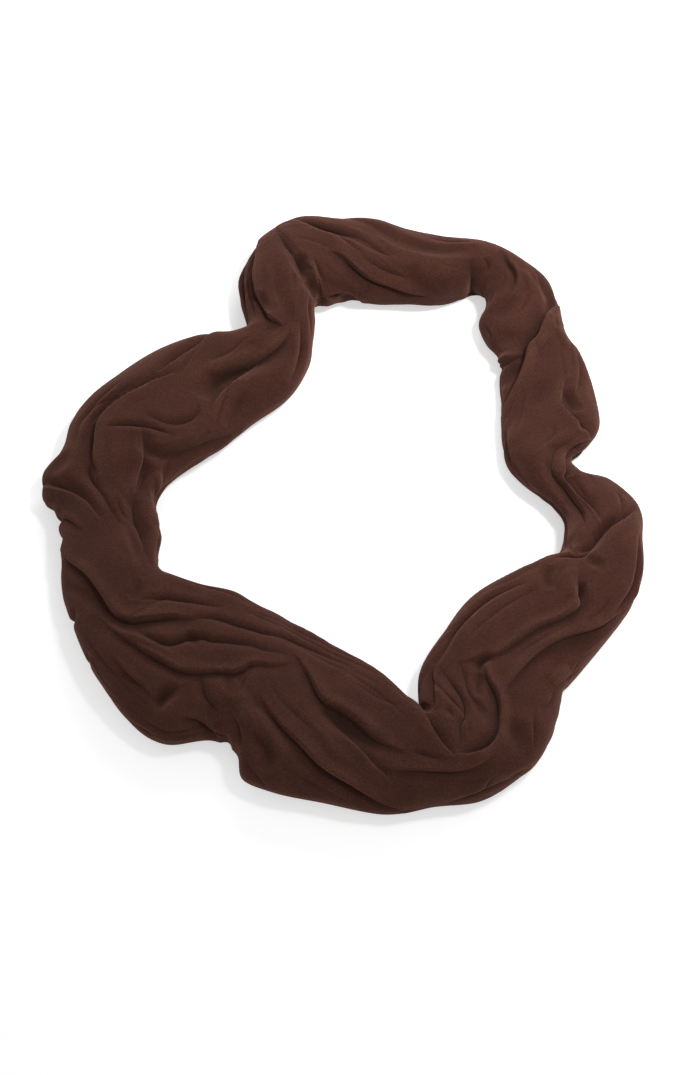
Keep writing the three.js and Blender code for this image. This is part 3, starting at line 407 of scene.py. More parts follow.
# Round valleys.
TROUGHS = table(["size", "reach", "path", "deepest"], [
    # back left bend
    [15, 13, [[4.3, -0.02], [4.1, -0.13], [3.9, -0.22], [3.7, -0.32]]],
    [6, 14, [[3.6, -0.25], [3.3, -0.38], [3.1, -0.56]], 0.6],
    [3, 10, [[2.1, -0.04], [1.4, -0.08], [0.8, -0.13]]],
    [9, 9, [[2, 0.2], [1.5, 0.17], [1.1, 0.14]]],
    [9, 12, [[6, -0.6], [6.3, -0.8], [6.5, -1]]],
    [5, 12, [[6.6, -1], [7.2, -1], [7.8, -1]]],
    [5, 8, [[38.6, 0.5], [38.5, 0.72], [38.5, 0.95]]],
    [6, 7, [[3.95, -0.17], [3.8, -0.25], [3.8, -0.35]]],
    # back left stretch
    [14, 16, [[52.5, -0.11], [51.8, -0.1], [51.3, -0.09], [50.9, -0.12], [50.5, -0.17]], 0.65],
    [11, 13, [
        [49, -0.03], [48.6, -0.1], [48.3, -0.19], [48.4, -0.33], [48.9, -0.42], [49.5, -0.5],
        [50.4, -0.68],
    ], 0.4],
    [8, 14, [[51.9, -0.06], [51, -0.06], [50.5, -0.1]]],
    [4, 12, [[51.3, -0.3], [50.9, -0.36], [50.5, -0.4], [50.1, -0.42]]],
    # left stretch
    [5, 16, [[47.6, 0.25], [47.2, 0.35], [47, 0.5]]],
    [7, 10, [[45.9, 0.45], [45.85, 0.7], [45.8, 0.95]]],
    [6, 14, [[45.4, 0.5], [45.35, 0.7], [45.3, 0.95]]],
    [10, 14, [[46.5, -0.27], [45.6, -0.24], [44.8, -0.27], [44, -0.33], [43.2, -0.34], [42.6, -0.3]]],
    [6, 8, [[47.8, -0.26], [47, -0.34], [46, -0.36]]],
    [7, 11, [[45.7, -0.19], [44.5, -0.19], [43.3, -0.24], [42.3, -0.29]]],
    # front left stretch
    [5, 11, [[44.5, 0.52], [44, 0.42], [43.4, 0.28], [42.6, 0.15]], 0.6],
    [4, 10, [[42.2, -0.04], [42, -0.12], [42.2, -0.2]]],
    [9, 11, [[39.9, 0.17], [40.05, 0.24], [40.2, 0.3], [40.35, 0.35]], 0.6],
    [8, 14, [[36.7, 0.2], [36.3, 0.27], [36.15, 0.34], [36.2, 0.44]], 0.6],
    [7, 9, [[43.2, 0.4], [43.2, 0.7], [43.2, 0.95]]],
    [4, 6, [[42.35, 0.5], [42.3, 0.8]]],
    [8, 9, [[40, -0.07], [39.75, -0.05], [39.5, -0.03]]],
    [5, 9, [[38.8, 0.08], [38.6, 0.14], [38.3, 0.2]]],
    [7, 9, [[40.1, 0.19], [40.2, 0.27], [40.2, 0.36]]],
    # front stretch
    [13, 16, [[35.1, -0.01], [34.7, 0.03], [34.3, 0.07], [33.8, 0.12]], 0.45],
    [4, 9, [[35.3, -0.07], [34.7, 0.09], [34.2, 0.26]]],
    [3, 12, [[33.4, 0.98], [34, 0.96], [34.6, 0.98]]],
    # front right bend
    [10, 9, [[28.2, -0.03], [28.5, -0.08], [28.8, -0.06]]],
    [5, 17, [[30, 0.13], [30.2, 0.21], [30.45, 0.3], [30.9, 0.38]], 0.4],
    [4, 8, [[29.7, -0.08], [29.95, -0.02], [30.3, 0.03]]],
    [6, 8, [[28.7, -0.06], [29.2, -0.05], [29.6, -0.03]]],
    # front right stretch
    [5, 15, [[26.2, 0.45], [26.7, 0.35], [27.2, 0.3], [27.7, 0.25]], 0.4],
    [12, 8, [[25.35, 0.03], [25.6, 0.08], [25.9, 0.14]]],
    [6, 11, [[25.2, -0.22], [25.55, -0.16], [25.95, -0.05]], 0.6],
    [3, 12, [[27.9, 0.6], [28, 0.8], [28, 1]]],
    [4, 15, [[27.4, -0.97], [28.5, -0.94], [29.6, -0.97]]],
    # right bend
    [11, 10, [[22.5, 0.1], [22.9, 0], [23.4, -0.06], [24, -0.15], [24.3, -0.24]]],
    [5, 10, [[24.25, -0.1], [24.5, 0], [24.5, 0.1]]],
    [9, 11, [[19.4, 0.06], [20.2, -0.14], [21, -0.28], [21.8, -0.32], [22.7, -0.22]]],
    [6, 7, [[22.6, 0.1], [22.8, 0.05], [23.1, -0.02]]],
    [6, 7, [[23.7, -0.12], [23.95, -0.17], [24.2, -0.2]]],
    # right stretch
    [9, 16, [[15.3, -0.28], [15.6, -0.4], [16, -0.55]], 0.4],
    [10, 11, [[16.2, 0.15], [16.55, 0.16], [16.9, 0.22]]],
    [3, 15, [[16, -0.06], [16.3, -0.05], [16.8, -0.12]]],
    [2.5, 14, [[13.9, 0.6], [14.3, 0.62], [14.8, 0.6]]],
    [6, 6, [[17.2, 0.26], [17.4, 0.3], [17.6, 0.38]]],
    [3, 12, [[15.3, 0.97], [15.8, 0.94], [16.4, 0.97]]],
    # back right bend
    [4, 15, [[12.7, -0.03], [13.1, -0.12], [13.5, -0.26]]],
    [8, 13, [[12.1, 0.34], [12.6, 0.33], [13.1, 0.34], [13.6, 0.22]], 0.6],
    [4, 14, [[14.1, -0.42], [14.4, -0.25], [14.5, -0.1]]],
    # back stretch
    [6, 13, [[6.4, 0.34], [7, 0.2], [7.8, 0.13], [8.6, 0.08], [9.4, 0.06], [10.2, -0.02]], 0.6],
    [5, 15, [[8, -0.12], [8.2, -0.28], [8.6, -0.4], [9.2, -0.42]]],
    [3, 12, [[7.2, 0.9], [8.2, 0.8], [9.3, 0.7]]],
])

# Rolls.
RIDGES = table(["size", "reach", "path", "deepest"], [
    # back left bend
    [6, 7, [[4.65, -0.1], [4.5, -0.25], [4.4, -0.42], [4.4, -0.62]]],
    [3, 6, [[3.2, 0.08], [2.6, 0.05], [2, 0.06], [1.4, 0.02]]],
    [4, 5, [[4.8, -0.14], [4.6, -0.27], [4.6, -0.39]]],
    # back left stretch
    [3, 6, [[50, 0.3], [49.4, 0.33], [48.8, 0.32], [48.2, 0.29]]],
    # left stretch
    [7, 13, [[46.5, 0.45], [46.5, 0.7], [46.5, 1]]],
    [4, 10, [[47.6, -0.42], [46.8, -0.42], [46, -0.42], [45.2, -0.42], [44.4, -0.5]]],
    [4, 6, [[47.9, -0.34], [47.3, -0.49], [46.7, -0.64]]],
    [3, 5, [[44.7, -0.44], [43.4, -0.42], [42, -0.47]]],
    # front left stretch
    [7, 12, [[39, 0.14], [38.3, 0.17], [37.5, 0.18], [36.8, 0.16], [36.2, 0.21], [35.6, 0.3]]],
    [3, 5, [[40.4, 0.58], [40, 0.6], [39.6, 0.6]]],
    [3, 5, [[42.3, 0.19], [41, 0.05], [39.7, 0.05], [39.3, 0.08]]],
    # front stretch
    [3, 7, [[35.3, 0.08], [34.9, 0.16], [34.6, 0.26]]],
    # front right bend
    [3, 7, [[29.6, -0.3], [30.1, -0.24], [30.6, -0.2]]],
    # front right stretch
    [4, 9, [[24.8, -0.09], [25.2, -0.05], [25.6, 0], [25.9, 0.05]]],
    [4, 9, [[27.4, 0.46], [27.8, 0.42], [28.2, 0.37]]],
    [2, 5, [[27.5, 0.42], [27.9, 0.4], [28.4, 0.36]]],
    # right bend
    [3, 5, [[24.2, 0.58], [24.9, 0.55], [25.6, 0.5]]],
    [3, 4, [[23.3, 0.48], [24, 0.49], [24.7, 0.54], [25.4, 0.51]]],
    # right stretch
    [3, 7, [[14.1, 0.33], [14.6, 0.32], [15.1, 0.3]]],
    # back right bend
    [4, 14, [[10.9, -0.35], [10.9, -0.6], [10.9, -0.85]], 0.6],
    [3, 6, [[11.6, 0.16], [12.2, 0.14], [12.8, 0.14]]],
    [3, 16, [[12.3, 0.9], [13.1, 0.88], [13.9, 0.9]]],
])

KINDS = {"lap": LAPS, "crease": CREASES, "trough": TROUGHS, "ridge": RIDGES}
FOLDS = [{"kind": kind, "over": "", "deepest": 0.5, **fold}
         for kind, folds in KINDS.items() for fold in folds]

# Sideways overhang of a lap's lip, as a share of its size, how far over the reach it goes, and how fast it
# fades there.
LIP_OVERHANG = 0.14
OVERHANG_REACH = 0.75
OVERHANG_FADE = 1.5

# How far a crease closes on itself, over what share of its reach, and the shape of its sides.
CREASE_CLOSING = 0.3
CLOSING_REACH = 0.4
CREASE_SHARPNESS = 2.5
CREASE_SOFTNESS = 1.0
RIDGE_ROUNDNESS = 1.3

# A lap's size is shared between its low lip and its deep foot, which spreads further than the lip. The
# lip is rounded over a share of its reach.
LIP_SHARE = 0.34
FOOT_SHARE = 0.74
FOOT_SPREAD = 1.3
LIP_ROUNDING = 0.12

# How much of its size each kind of fold has in this heavy, soft cloth.
FULLNESS = {"lap": 0.85, "crease": 0.75, "trough": 0.78, "ridge": 0.8}

# Where hollows overlap, the power by which their depths add up.
SINKING_TOGETHER = 1.7

# Small folds between the named ones: how many are tried, how far one runs in sections, how far it strays
# from the lay of the cloth and bows across, its size and reach in mm, and how often each kind comes.
SMALL_FOLD_COUNT = 130
SMALL_FOLD_RUN = (0.5, 1.6)
SMALL_FOLD_STRAY = 0.09
SMALL_FOLD_BOW = 0.02
SMALL_FOLD_SIZE = (0.6, 1.8)
SMALL_FOLD_REACH = (2.6, 6.5)
SMALL_FOLD_KINDS = {"crease": 0.35, "trough": 0.25, "ridge": 0.15, "lap": 0.25}

# Pleats all over: how many lie round the loop and over half of it across, and their height in mm. They
# are a rounded rise over a floor, with softened valleys.
PLEAT_SIZES = table(["around", "over", "rise", "seed"], [
    [30, 5.0, 1.0, 3],
    [64, 11.0, 0.4, 5],
])
PLEAT_FLOOR = 0.7
VALLEY_SOFTNESS = 0.02

# The cloth is pleated in patches: how many round the loop and over half of it across, and the share of the
# pleats between them. The pleats of the loop's end fade into those of its start over some sections.
PLEAT_PATCHES = 22
PATCHES_OVER = 2
PATCH_SEED = 9
FLAT_SHARE = 0.25
PLEAT_FADE = 3.0

# Columns of random values behind the pleats, and a shift that keeps their places above zero.
NOISE_COLUMNS = 64
NOISE_SHIFT = 30

# Slow swellings: height in mm, waves round the loop, and how they turn across it.
SWELLS = table(["rise", "waves", "tilt", "phase"], [
    [1.0, 9, 4.1, 0],
    [0.6, 17, -6.3, 1.0],
    [0.35, 31, 9.5, 2.2],
])

# Flatter places, with few small folds: middle and half size, in sections and across.
FLAT_PLACES = table(["row", "across", "rows", "over"], [
    [27.1, -0.09, 1.5, 0.16],
    [30.2, 0.4, 1, 0.2],
    [25.8, 0.2, 1, 0.14],
    [36, 0, 0.8, 0.12],
    [35.6, 0.4, 0.9, 0.14],
    [33.3, 0, 0.8, 0.2],
    [44.4, 0.02, 0.9, 0.2],
    [41.9, 0.34, 0.8, 0.14],
    [47.6, 0, 1, 0.16],
    [52, -0.4, 1.2, 0.2],
    [51.4, 0.15, 0.8, 0.14],
    [3, 0, 1, 0.22],
    [8, -0.2, 1.6, 0.16],
    [9, 0.2, 1.5, 0.2],
    [17.6, -0.15, 1.5, 0.2],
    [23.8, 0.15, 1, 0.2],
    [21.5, 0.3, 0.9, 0.2],
    [12.4, 0.2, 1, 0.2],
])
CALM_SHARE = 0.8

# Pleats of the underside: place across it, drift, waves round the loop, depth, width and phase.
UNDER_PLEATS = [
    (0.18, 0.05, 5, 3.2, 0.045, 0.3),
    (0.36, 0.07, 4, 4.0, 0.05, 2.1),
    (0.52, 0.06, 7, 3.0, 0.04, 4.0),
    (0.66, 0.06, 5, 3.8, 0.05, 1.2),
    (0.83, 0.05, 6, 3.0, 0.04, 5.2),
]

# The join of the loop's ends is across this section, and the tube's own seam along this column underneath.
JOIN_ROW = 4.45
TUBE_SEAM_COLUMN = 16
SEAM_DEPTH = 0.8

# The inner wall keeps below the deepest hollow within this many rows and columns, taken this many times.
HOLLOW_ROWS = 4
HOLLOW_COLUMNS = 2
HOLLOW_STEPS = 3

# Half the windows, in mesh rows and columns, against which a narrow and a wide hollow is measured for the
# painted shade and painted highlight of the cloth's colour.
NARROW_WINDOW = 4
WIDE_WINDOW = 12

# The hand-sewn slip stitches of the join.
STITCH_STEP = 4.0
STITCH_LENGTH = 2.6
STITCH_WIDTH = 0.5

# Dark brown jersey, the painted shade of its hollows (also the darker ply of the join's thread) and the
# painted highlight on its lips.
CLOTH_COLOUR = "#3c2019"
PAINTED_SHADE_AND_THREAD_PLY_COLOUR = "#29150f"
PAINTED_LIP_HIGHLIGHT_COLOUR = "#44281f"
SHEEN_COLOUR = "#d99c88"
SHEEN_WEIGHT = 0.35
SHEEN_ROUGHNESS = 0.55

# Real sizes in the cloth, in metres: the nap's tufts and the patches that it lies in, the knit's wales,
# and the plies of the thread. Real wales are about 0.7 mm apart, too fine to show.
TUFT_SIZE = 0.0018
NAP_PATCH_SIZE = 0.025
WALE_STEP = 0.0014
PLY_SIZE = 0.0003

# The white surface's own light for the camera, and the light of the surroundings.
FLOOR_COLOUR = "#e6e6e6"
FLOOR_GLOW = 0.5
SKY_STRENGTH = 0.41

# Lamps: name, kind, place, aim, size in metres and power. The key lamp's pool of light fades towards the
# front left.
LAMPS = table(["name", "kind", "place", "aim", "size", "power"], [
    ["key_lamp", "SPOT", (1.05, 0.15, 2.15), (0.33, 0.3, 0), 0.25, 172],
    ["back_lamp", "AREA", (0.4, 2.0, 1.3), (0, 0, 0), 1.0, 20],
    ["front_lamp", "AREA", (0.2, -1.9, 1.1), (0, 0, 0), 1.0, 7],
])
KEY_LAMP_ANGLE = 43

# The camera looks from the front and above, aimed a little in front of the loop's middle.
CAMERA_AIM = (0.004, -0.038, 0)
CAMERA_ELEVATION = 60
CAMERA_DISTANCE = 2.7
LENS_LENGTH = 85
FILM_HEIGHT = 36

# Half the width of the white surface, in metres.
FLOOR_HALF = 4.0

# Which way on the surface each side of a lap lies: by section number, and across.
SIDES = {"inner": (0, -1), "outer": (0, 1), "next": (1, 0), "last": (-1, 0)}

# How far the lay of the cloth drifts across, for each section along the loop. Small folds follow it.
LAY = table(["row", "drift"], [
    [0, -0.08], [5, -0.2], [12, -0.2], [16, -0.25], [22, -0.15], [28, -0.12], [33, -0.12], [37, 0.06],
    [41, 0.12], [45, 0.18], [49, 0.05], [53, -0.08],
])
ROW_COUNT = len(SECTIONS)
SECTION_VALUES = np.array([list(section.values()) for section in SECTIONS], float)


# The bundle.

def through_points(a, b, c, d, t):
    """A smooth curve through four values, from the second to the third."""
    bend = (c - a) * t + (2 * a - 5 * b + 4 * c - d) * t**2 + (3 * b - a - 3 * c + d) * t**3
    return b + bend / 2


def signed_power(values, power):
    return np.sign(values) * np.abs(values) ** power


def dome_points(rows, across):
    """Points of the smooth bundle at section numbers and places across it, -1 at the hole to 1."""
    rows, across = np.broadcast_arrays(np.asarray(rows, float), np.asarray(across, float))
    start = np.floor(rows).astype(int)
    share = (rows - start)[..., None]
    near = [SECTION_VALUES[(start + step) % ROW_COUNT] for step in (-1, 0, 1, 2)]
    section = through_points(*near, share)
    angle = across[..., None] * EDGE_ANGLE
    side = (1 + signed_power(np.sin(angle), DOME_ROUNDNESS)) / 2
    rise = WIDEST_SHARE + (1 - WIDEST_SHARE) * signed_power(np.cos(angle), DOME_ROUNDNESS)
    plan = section[..., 0:2] * (1 - side) + section[..., 2:4] * side - LOOP_CENTRE
    return np.concatenate([plan, np.maximum(section[..., 4:5] * rise, 0)], -1)


def dome_frames(rows, across):
    """The directions of the bundle's surface: along the loop, across it, and outwards."""
    row_step, across_step = 0.02, 0.004
    along = dome_points(rows + row_step, across) - dome_points(rows - row_step, across)
    over = dome_points(rows, across + across_step) - dome_points(rows, across - across_step)
    outward = np.cross(along, over)
    outward /= np.maximum(np.linalg.norm(outward, axis=-1, keepdims=True), 1e-9)
    return along / (2 * row_step), over / (2 * across_step), outward


def even_rows(first, last, step):
    """Section numbers from first to last, evenly spaced along the crest."""
    samples = np.linspace(first, last, CREST_SAMPLES)
    lengths = np.linalg.norm(np.diff(dome_points(samples, 0 * samples), axis=0), axis=1)
    travelled = np.concatenate([[0], np.cumsum(lengths)])
    count = round(travelled[-1] / step)
    return np.interp(np.linspace(0, travelled[-1], count + 1), travelled, samples)


def rows_between(rows, first):
    """How far section numbers are past the first one, the shorter way round the loop."""
    return (rows - first + ROW_COUNT / 2) % ROW_COUNT - ROW_COUNT / 2


# The folds.

def smooth_path(places, steps=10):
    padded = np.array([2 * np.array(places[0]) - places[1], *places, 2 * np.array(places[-1]) - places[-2]])
    share = np.linspace(0, 1, steps, endpoint=False)[:, None]
    runs = [through_points(*padded[index:index + 4], share) for index in range(len(places) - 1)]
    return np.vstack([*runs, padded[-2:-1]])


def fold_strength(share, deepest):
    """A fold rises from nothing at its first end, is full where it is deepest and fades to its other end."""
    shortest, fullness = 0.12, 0.8
    rise = share / max(deepest, shortest)
    fall = (1 - share) / max(1 - deepest, shortest)
    return np.sin(np.clip(np.minimum(rise, fall), 0, 1) * math.pi / 2) ** fullness


def smooth_step(values):
    values = np.clip(values, 0, 1)
    return values * values * (3 - 2 * values)


def fold_height(kind, signed, size, reach):
    """Height of a fold's surface at a signed distance from its path, positive where a lap lies over."""
    away = np.abs(signed) / reach
    near = np.clip(1 - away, 0, 1)
    round_off = np.clip(1 - away**2, 0, 1)
    if kind == "trough":
        return -size * round_off**2
    if kind == "ridge":
        return size * round_off**RIDGE_ROUNDNESS
    if kind == "crease":
        return -size * near**CREASE_SHARPNESS * (1 + CREASE_SOFTNESS * away)
    lip_rise = np.sqrt(1 - (1 - np.clip(signed / reach / LIP_ROUNDING, 0, 1)) ** 2)
    lip = LIP_SHARE * size * near**2 * (1 + 2 * away) * lip_rise
    foot_near = np.clip(1 - away / FOOT_SPREAD, 0, 1)
    foot = -FOOT_SHARE * size * foot_near**2 * (1 + away)
    crest = smooth_step(0.5 + signed / (2 * LIP_HALF_STEP))
    return foot * (1 - crest) + lip * crest


def fold_tuck(kind, signed, size, reach):
    """Sideways shift towards positive: a lap's lip hangs over its foot, and a crease closes on itself."""
    away = np.abs(signed) / reach
    if kind == "lap":
        fade = np.clip(1 - away / OVERHANG_REACH, 0, 1) ** OVERHANG_FADE
        hang = smooth_step(0.5 + signed / (2 * LIP_HALF_STEP)) * fade
        return -LIP_OVERHANG * size * hang
    if kind == "crease":
        return -CREASE_CLOSING * signed * np.exp(-((away / CLOSING_REACH) ** 2))
    return 0 * signed


def relief(rows, across):
    """Height and sideways shift of every fold at the places of the grid."""
    base = dome_points(rows, across)
    raised = np.zeros(rows.shape)
    sunk = np.zeros(rows.shape)
    shift = np.zeros(rows.shape + (3,))
    for fold in FOLDS + SMALL_FOLDS:
        path = smooth_path(fold["path"])
        points = dome_points(path[:, 0], path[:, 1])
        along, over, outward = dome_frames(path[:, 0], path[:, 1])
        runs = np.diff(points, axis=0)
        lengths = np.linalg.norm(runs, axis=1) + 1e-9
        travelled = np.concatenate([[0], np.cumsum(lengths)])
        lefts = np.cross(outward[:-1], runs)
        lefts /= np.linalg.norm(lefts, axis=1, keepdims=True) + 1e-9
        side_sign = 1
        if fold["over"]:
            middle = len(runs) // 2
            row_way, across_way = SIDES[fold["over"]]
            way = row_way * along[middle] + across_way * over[middle]
            side_sign = 1 if lefts[middle] @ way > 0 else -1

        past = rows_between(rows, path[:, 0].min())
        span = np.ptp(path[:, 0])
        near = (past > -ROWS_IN_REACH) & (past < span + ROWS_IN_REACH)
        lowest, highest = points.min(0) - fold["reach"], points.max(0) + fold["reach"]
        near &= np.all((base > lowest) & (base < highest), -1)
        where = np.nonzero(near)
        if not len(where[0]):
            continue
        spots = base[where]
        spot_rows = rows[where]
        best = np.full(len(spots), np.inf)
        share = np.zeros(len(spots))
        side = np.ones(len(spots))
        left = np.zeros((len(spots), 3))
        for index, run in enumerate(runs):
            offset = spots - points[index]
            part = np.clip(offset @ run / lengths[index] ** 2, 0, 1)
            offset -= part[:, None] * run
            distance = np.linalg.norm(offset, axis=1)
            distance[np.abs(rows_between(spot_rows, path[index, 0])) > ROWS_IN_REACH] = np.inf
            nearer = distance < best
            best[nearer] = distance[nearer]
            share[nearer] = (travelled[index] + part[nearer] * lengths[index]) / travelled[-1]
            side[nearer] = np.where(offset[nearer] @ lefts[index] >= 0, 1, -1)
            left[nearer] = lefts[index]
        best = np.minimum(best, 10 * fold["reach"])
        signed = side_sign * side * best
        size = fold["size"] * FULLNESS[fold["kind"]] * fold_strength(share, fold["deepest"])
        height = fold_height(fold["kind"], signed, size, fold["reach"])
        raised[where] += np.maximum(height, 0)
        sunk[where] += np.abs(np.minimum(height, 0)) ** SINKING_TOGETHER
        strength = size / fold["size"] if fold["kind"] == "crease" else size
        tuck = side_sign * fold_tuck(fold["kind"], signed, strength, fold["reach"])
        shift[where] += tuck[:, None] * left
    return raised - sunk ** (1 / SINKING_TOGETHER), shift


def calmness(rows, across):
    """How far a place lies within the flatter places, from 0 to 1."""
    share = 0 * rows
    for place in FLAT_PLACES:
        off_row = rows_between(rows, place["row"]) / place["rows"]
        away = np.hypot(off_row, (across - place["across"]) / place["over"])
        share = np.maximum(share, smooth_step(1.5 - away))
    return share


def small_folds(count, seed):
    """Small folds between the named ones, along the lay of the cloth."""
    draw = np.random.default_rng(seed)
    lay_rows, lay_drifts = zip(*[entry.values() for entry in LAY])
    folds = []
    for _ in range(count):
        row = draw.uniform(0, ROW_COUNT)
        start = draw.uniform(-0.85, 0.85)
        reach_rows = draw.uniform(*SMALL_FOLD_RUN)
        if calmness(row + reach_rows / 2, start) > 0.5:
            continue
        drift = np.interp(row, lay_rows, lay_drifts) + draw.normal(0, SMALL_FOLD_STRAY)
        bow = draw.normal(0, SMALL_FOLD_BOW)
        path = [[row + t * reach_rows, start + t * reach_rows * drift + bow * math.sin(math.pi * t)]
                for t in (0, 0.33, 0.67, 1)]
        kind = draw.choice(list(SMALL_FOLD_KINDS), p=list(SMALL_FOLD_KINDS.values()))
        size = draw.uniform(*SMALL_FOLD_SIZE)
        reach = draw.uniform(*SMALL_FOLD_REACH)
        over = str(draw.choice(["inner", "outer"])) if kind == "lap" else ""
        deepest = draw.uniform(0.3, 0.7)
        folds.append({"kind": str(kind), "over": over, "size": size, "reach": reach,
                      "deepest": deepest, "path": path})
    return folds


def lattice_noise(around, over, count, seed):
    """Smooth noise between random values, closed round the loop after count values."""
    values = np.random.default_rng(seed).normal(0, 1, (count, NOISE_COLUMNS))
    first, beside = np.floor(around).astype(int), np.floor(over).astype(int)
    t, s = smooth_step(around - first), smooth_step(over - beside)

    def across_row(row):
        left = values[row % count, beside % NOISE_COLUMNS]
        return left * (1 - s) + values[row % count, (beside + 1) % NOISE_COLUMNS] * s

    return across_row(first) * (1 - t) + across_row(first + 1) * t


def pleats(rows, across):
    """Rounded pleats with crisp valleys between them, along the lay of the cloth, in mm."""
    lay_rows, lay_drifts = zip(*[entry.values() for entry in LAY])
    lay = np.interp(np.arange(ROW_COUNT + 1), lay_rows, lay_drifts)
    drift = np.concatenate([[0], np.cumsum(lay)])
    past = rows % ROW_COUNT
    height = np.zeros(rows.shape)
    for around, over, rise, seed in [pleat.values() for pleat in PLEAT_SIZES]:
        share = smooth_step((past - ROW_COUNT + PLEAT_FADE) / PLEAT_FADE)
        for wrap, weight in ((0, 1 - share), (1, share)):
            place = across - np.interp(past - wrap * ROW_COUNT, np.arange(-1, ROW_COUNT + 1), drift)
            noise = lattice_noise(past / ROW_COUNT * around, place * over + NOISE_SHIFT, around, seed)
            height += weight * rise * (np.sqrt(noise**2 + VALLEY_SOFTNESS) - PLEAT_FLOOR)
    patch = lattice_noise(past / ROW_COUNT * PLEAT_PATCHES, across * PATCHES_OVER + NOISE_SHIFT,
                          PLEAT_PATCHES, PATCH_SEED)
    strength = FLAT_SHARE + (1 - FLAT_SHARE) * smooth_step(0.5 + patch)
    return height * strength * (1 - CALM_SHARE * calmness(rows, across))


def swell(rows, across):
    """Slow unevenness of the gathered cloth, in mm."""
    turn = 2 * math.pi * rows / ROW_COUNT
    return sum(wave["rise"] * np.sin(wave["waves"] * turn + wave["tilt"] * across + wave["phase"])
               for wave in SWELLS)


# The whole ring of cloth.

SMALL_FOLDS = small_folds(SMALL_FOLD_COUNT, seed=11)


def ring_rows():
    """Section numbers of the mesh rows round the loop, and the first and last mesh row of each stretch."""
    rows, bounds = [], []
    for stretch in STRETCHES:
        piece = even_rows(stretch["first"], stretch["last"], ROW_STEP)
        bounds.append((len(rows), len(rows) + len(piece) - 1))
        rows.extend(piece[:-1])
    return np.array(rows), bounds


def under_height(rows, share):
    """Height of the underside over the surface, in mm: soft pleats along the loop."""
    turn = 2 * math.pi * rows / ROW_COUNT
    height = np.zeros(np.broadcast(rows, share).shape)
    for place, drift, waves, depth, width, phase in UNDER_PLEATS:
        centre = place + drift * np.sin(waves * turn + phase)
        strength = smooth_step(0.5 + 0.8 * np.sin((waves + 1) * turn + 2 * phase))
        height += depth * strength * np.exp(-(((share - centre) / width) ** 2))
    return height * np.sin(math.pi * np.clip(share, 0, 1)) ** 0.5


def box_blur(values, along, over):
    """Average over a window of the closed grid."""
    for axis, half in ((0, along), (1, over)):
        padded = np.concatenate([np.take(values, range(-half, 0), axis), values,
                                 np.take(values, range(half), axis)], axis)
        sums = np.cumsum(padded, axis)
        zero = np.zeros_like(np.take(sums, [0], axis))
        sums = np.concatenate([zero, sums], axis)
        size = values.shape[axis]
        values = (np.take(sums, range(2 * half + 1, size + 2 * half + 1), axis)
                  - np.take(sums, range(size), axis)) / (2 * half + 1)
    return values


def cloth_ring():
    """Points of the outer wall round the whole loop, of the inner wall, the hollows' depth, the first and
    last mesh row of each stretch, and the path of the join's stitches."""
    rows, bounds = ring_rows()
    top = np.linspace(-1, 1, TOP_COLUMNS + 1)
    grid_rows, grid_across = np.meshgrid(rows, top, indexing="ij")
    height, shift = relief(grid_rows, grid_across)
    height += swell(grid_rows, grid_across) + pleats(grid_rows, grid_across)
    join = int(np.argmin(np.abs(rows - JOIN_ROW)))
    height[join] -= SEAM_DEPTH
    base = dome_points(grid_rows, grid_across)
    _, _, outward = dome_frames(grid_rows, grid_across)
    fade = smooth_step((1 - np.abs(grid_across)) / FLOOR_FADE)[..., None]
    move = outward * height[..., None] + shift
    move[..., 2:] *= fade
    points = base + move
    points[..., 2] = np.maximum(points[..., 2], 0)

    share = np.arange(1, UNDER_COLUMNS) / UNDER_COLUMNS
    under_rows, under_share = np.meshgrid(rows, share, indexing="ij")
    under = points[:, -1:] * (1 - under_share[..., None]) + points[:, :1] * under_share[..., None]
    under_rise = under_height(under_rows, under_share)
    under_rise[:, TUBE_SEAM_COLUMN] += SEAM_DEPTH
    under_rise[join] += SEAM_DEPTH
    under[..., 2] = under_rise
    outer = np.concatenate([points, under], 1)

    # The inner wall keeps below the deepest hollow nearby.
    deepest = height
    for _ in range(HOLLOW_STEPS):
        beside = [np.roll(deepest, step, 0) for step in (-HOLLOW_ROWS, HOLLOW_ROWS)]
        beside += [np.roll(deepest, step, 1) for step in (-HOLLOW_COLUMNS, HOLLOW_COLUMNS)]
        deepest = np.minimum.reduce([deepest, *beside])
    inner_top = base + outward * (np.minimum(deepest, 0) - CLOTH_THICKNESS)[..., None]
    inner_top[..., 2] = np.maximum(inner_top[..., 2], 2 * CLOTH_THICKNESS)
    inner_under = under.copy()
    inner_under[..., 2] = under_rise + CLOTH_THICKNESS
    inner = np.concatenate([inner_top, inner_under], 1)

    # How far each place lies below or above its surroundings: it paints shade into the hollows and highlight
    # onto the lips of the cloth's colour.
    all_height = np.concatenate([height * fade[..., 0], -under_rise], 1)
    narrow, wide = [all_height - box_blur(box_blur(all_height, half, half), half, half)
                    for half in (NARROW_WINDOW, WIDE_WINDOW)]
    hollow = (narrow + wide) / 2
    seam_path = outer[join].copy()
    seam_path[:TOP_COLUMNS + 1] += outward[join] * SEAM_DEPTH / 2
    seam_path[TOP_COLUMNS + 1:, 2] -= SEAM_DEPTH / 2
    seam_path[:, 2] = np.maximum(seam_path[:, 2], STITCH_WIDTH / 2)
    return outer * MM, inner * MM, hollow, bounds, seam_path * MM


# Meshes.

def ring_normals(points):
    """Normals of the closed grid, so that the pieces' shared borders are shaded alike."""
    along = np.roll(points, -1, 0) - np.roll(points, 1, 0)
    over = np.roll(points, -1, 1) - np.roll(points, 1, 1)
    normals = np.cross(along, over)
    return normals / np.maximum(np.linalg.norm(normals, axis=-1, keepdims=True), 1e-12)


def girth_lengths(points):
    """Distance round the cloth from its first column, in metres."""
    steps = np.linalg.norm(np.diff(points, axis=1), axis=-1)
    return np.concatenate([np.zeros((len(points), 1)), np.cumsum(steps, 1)], 1)


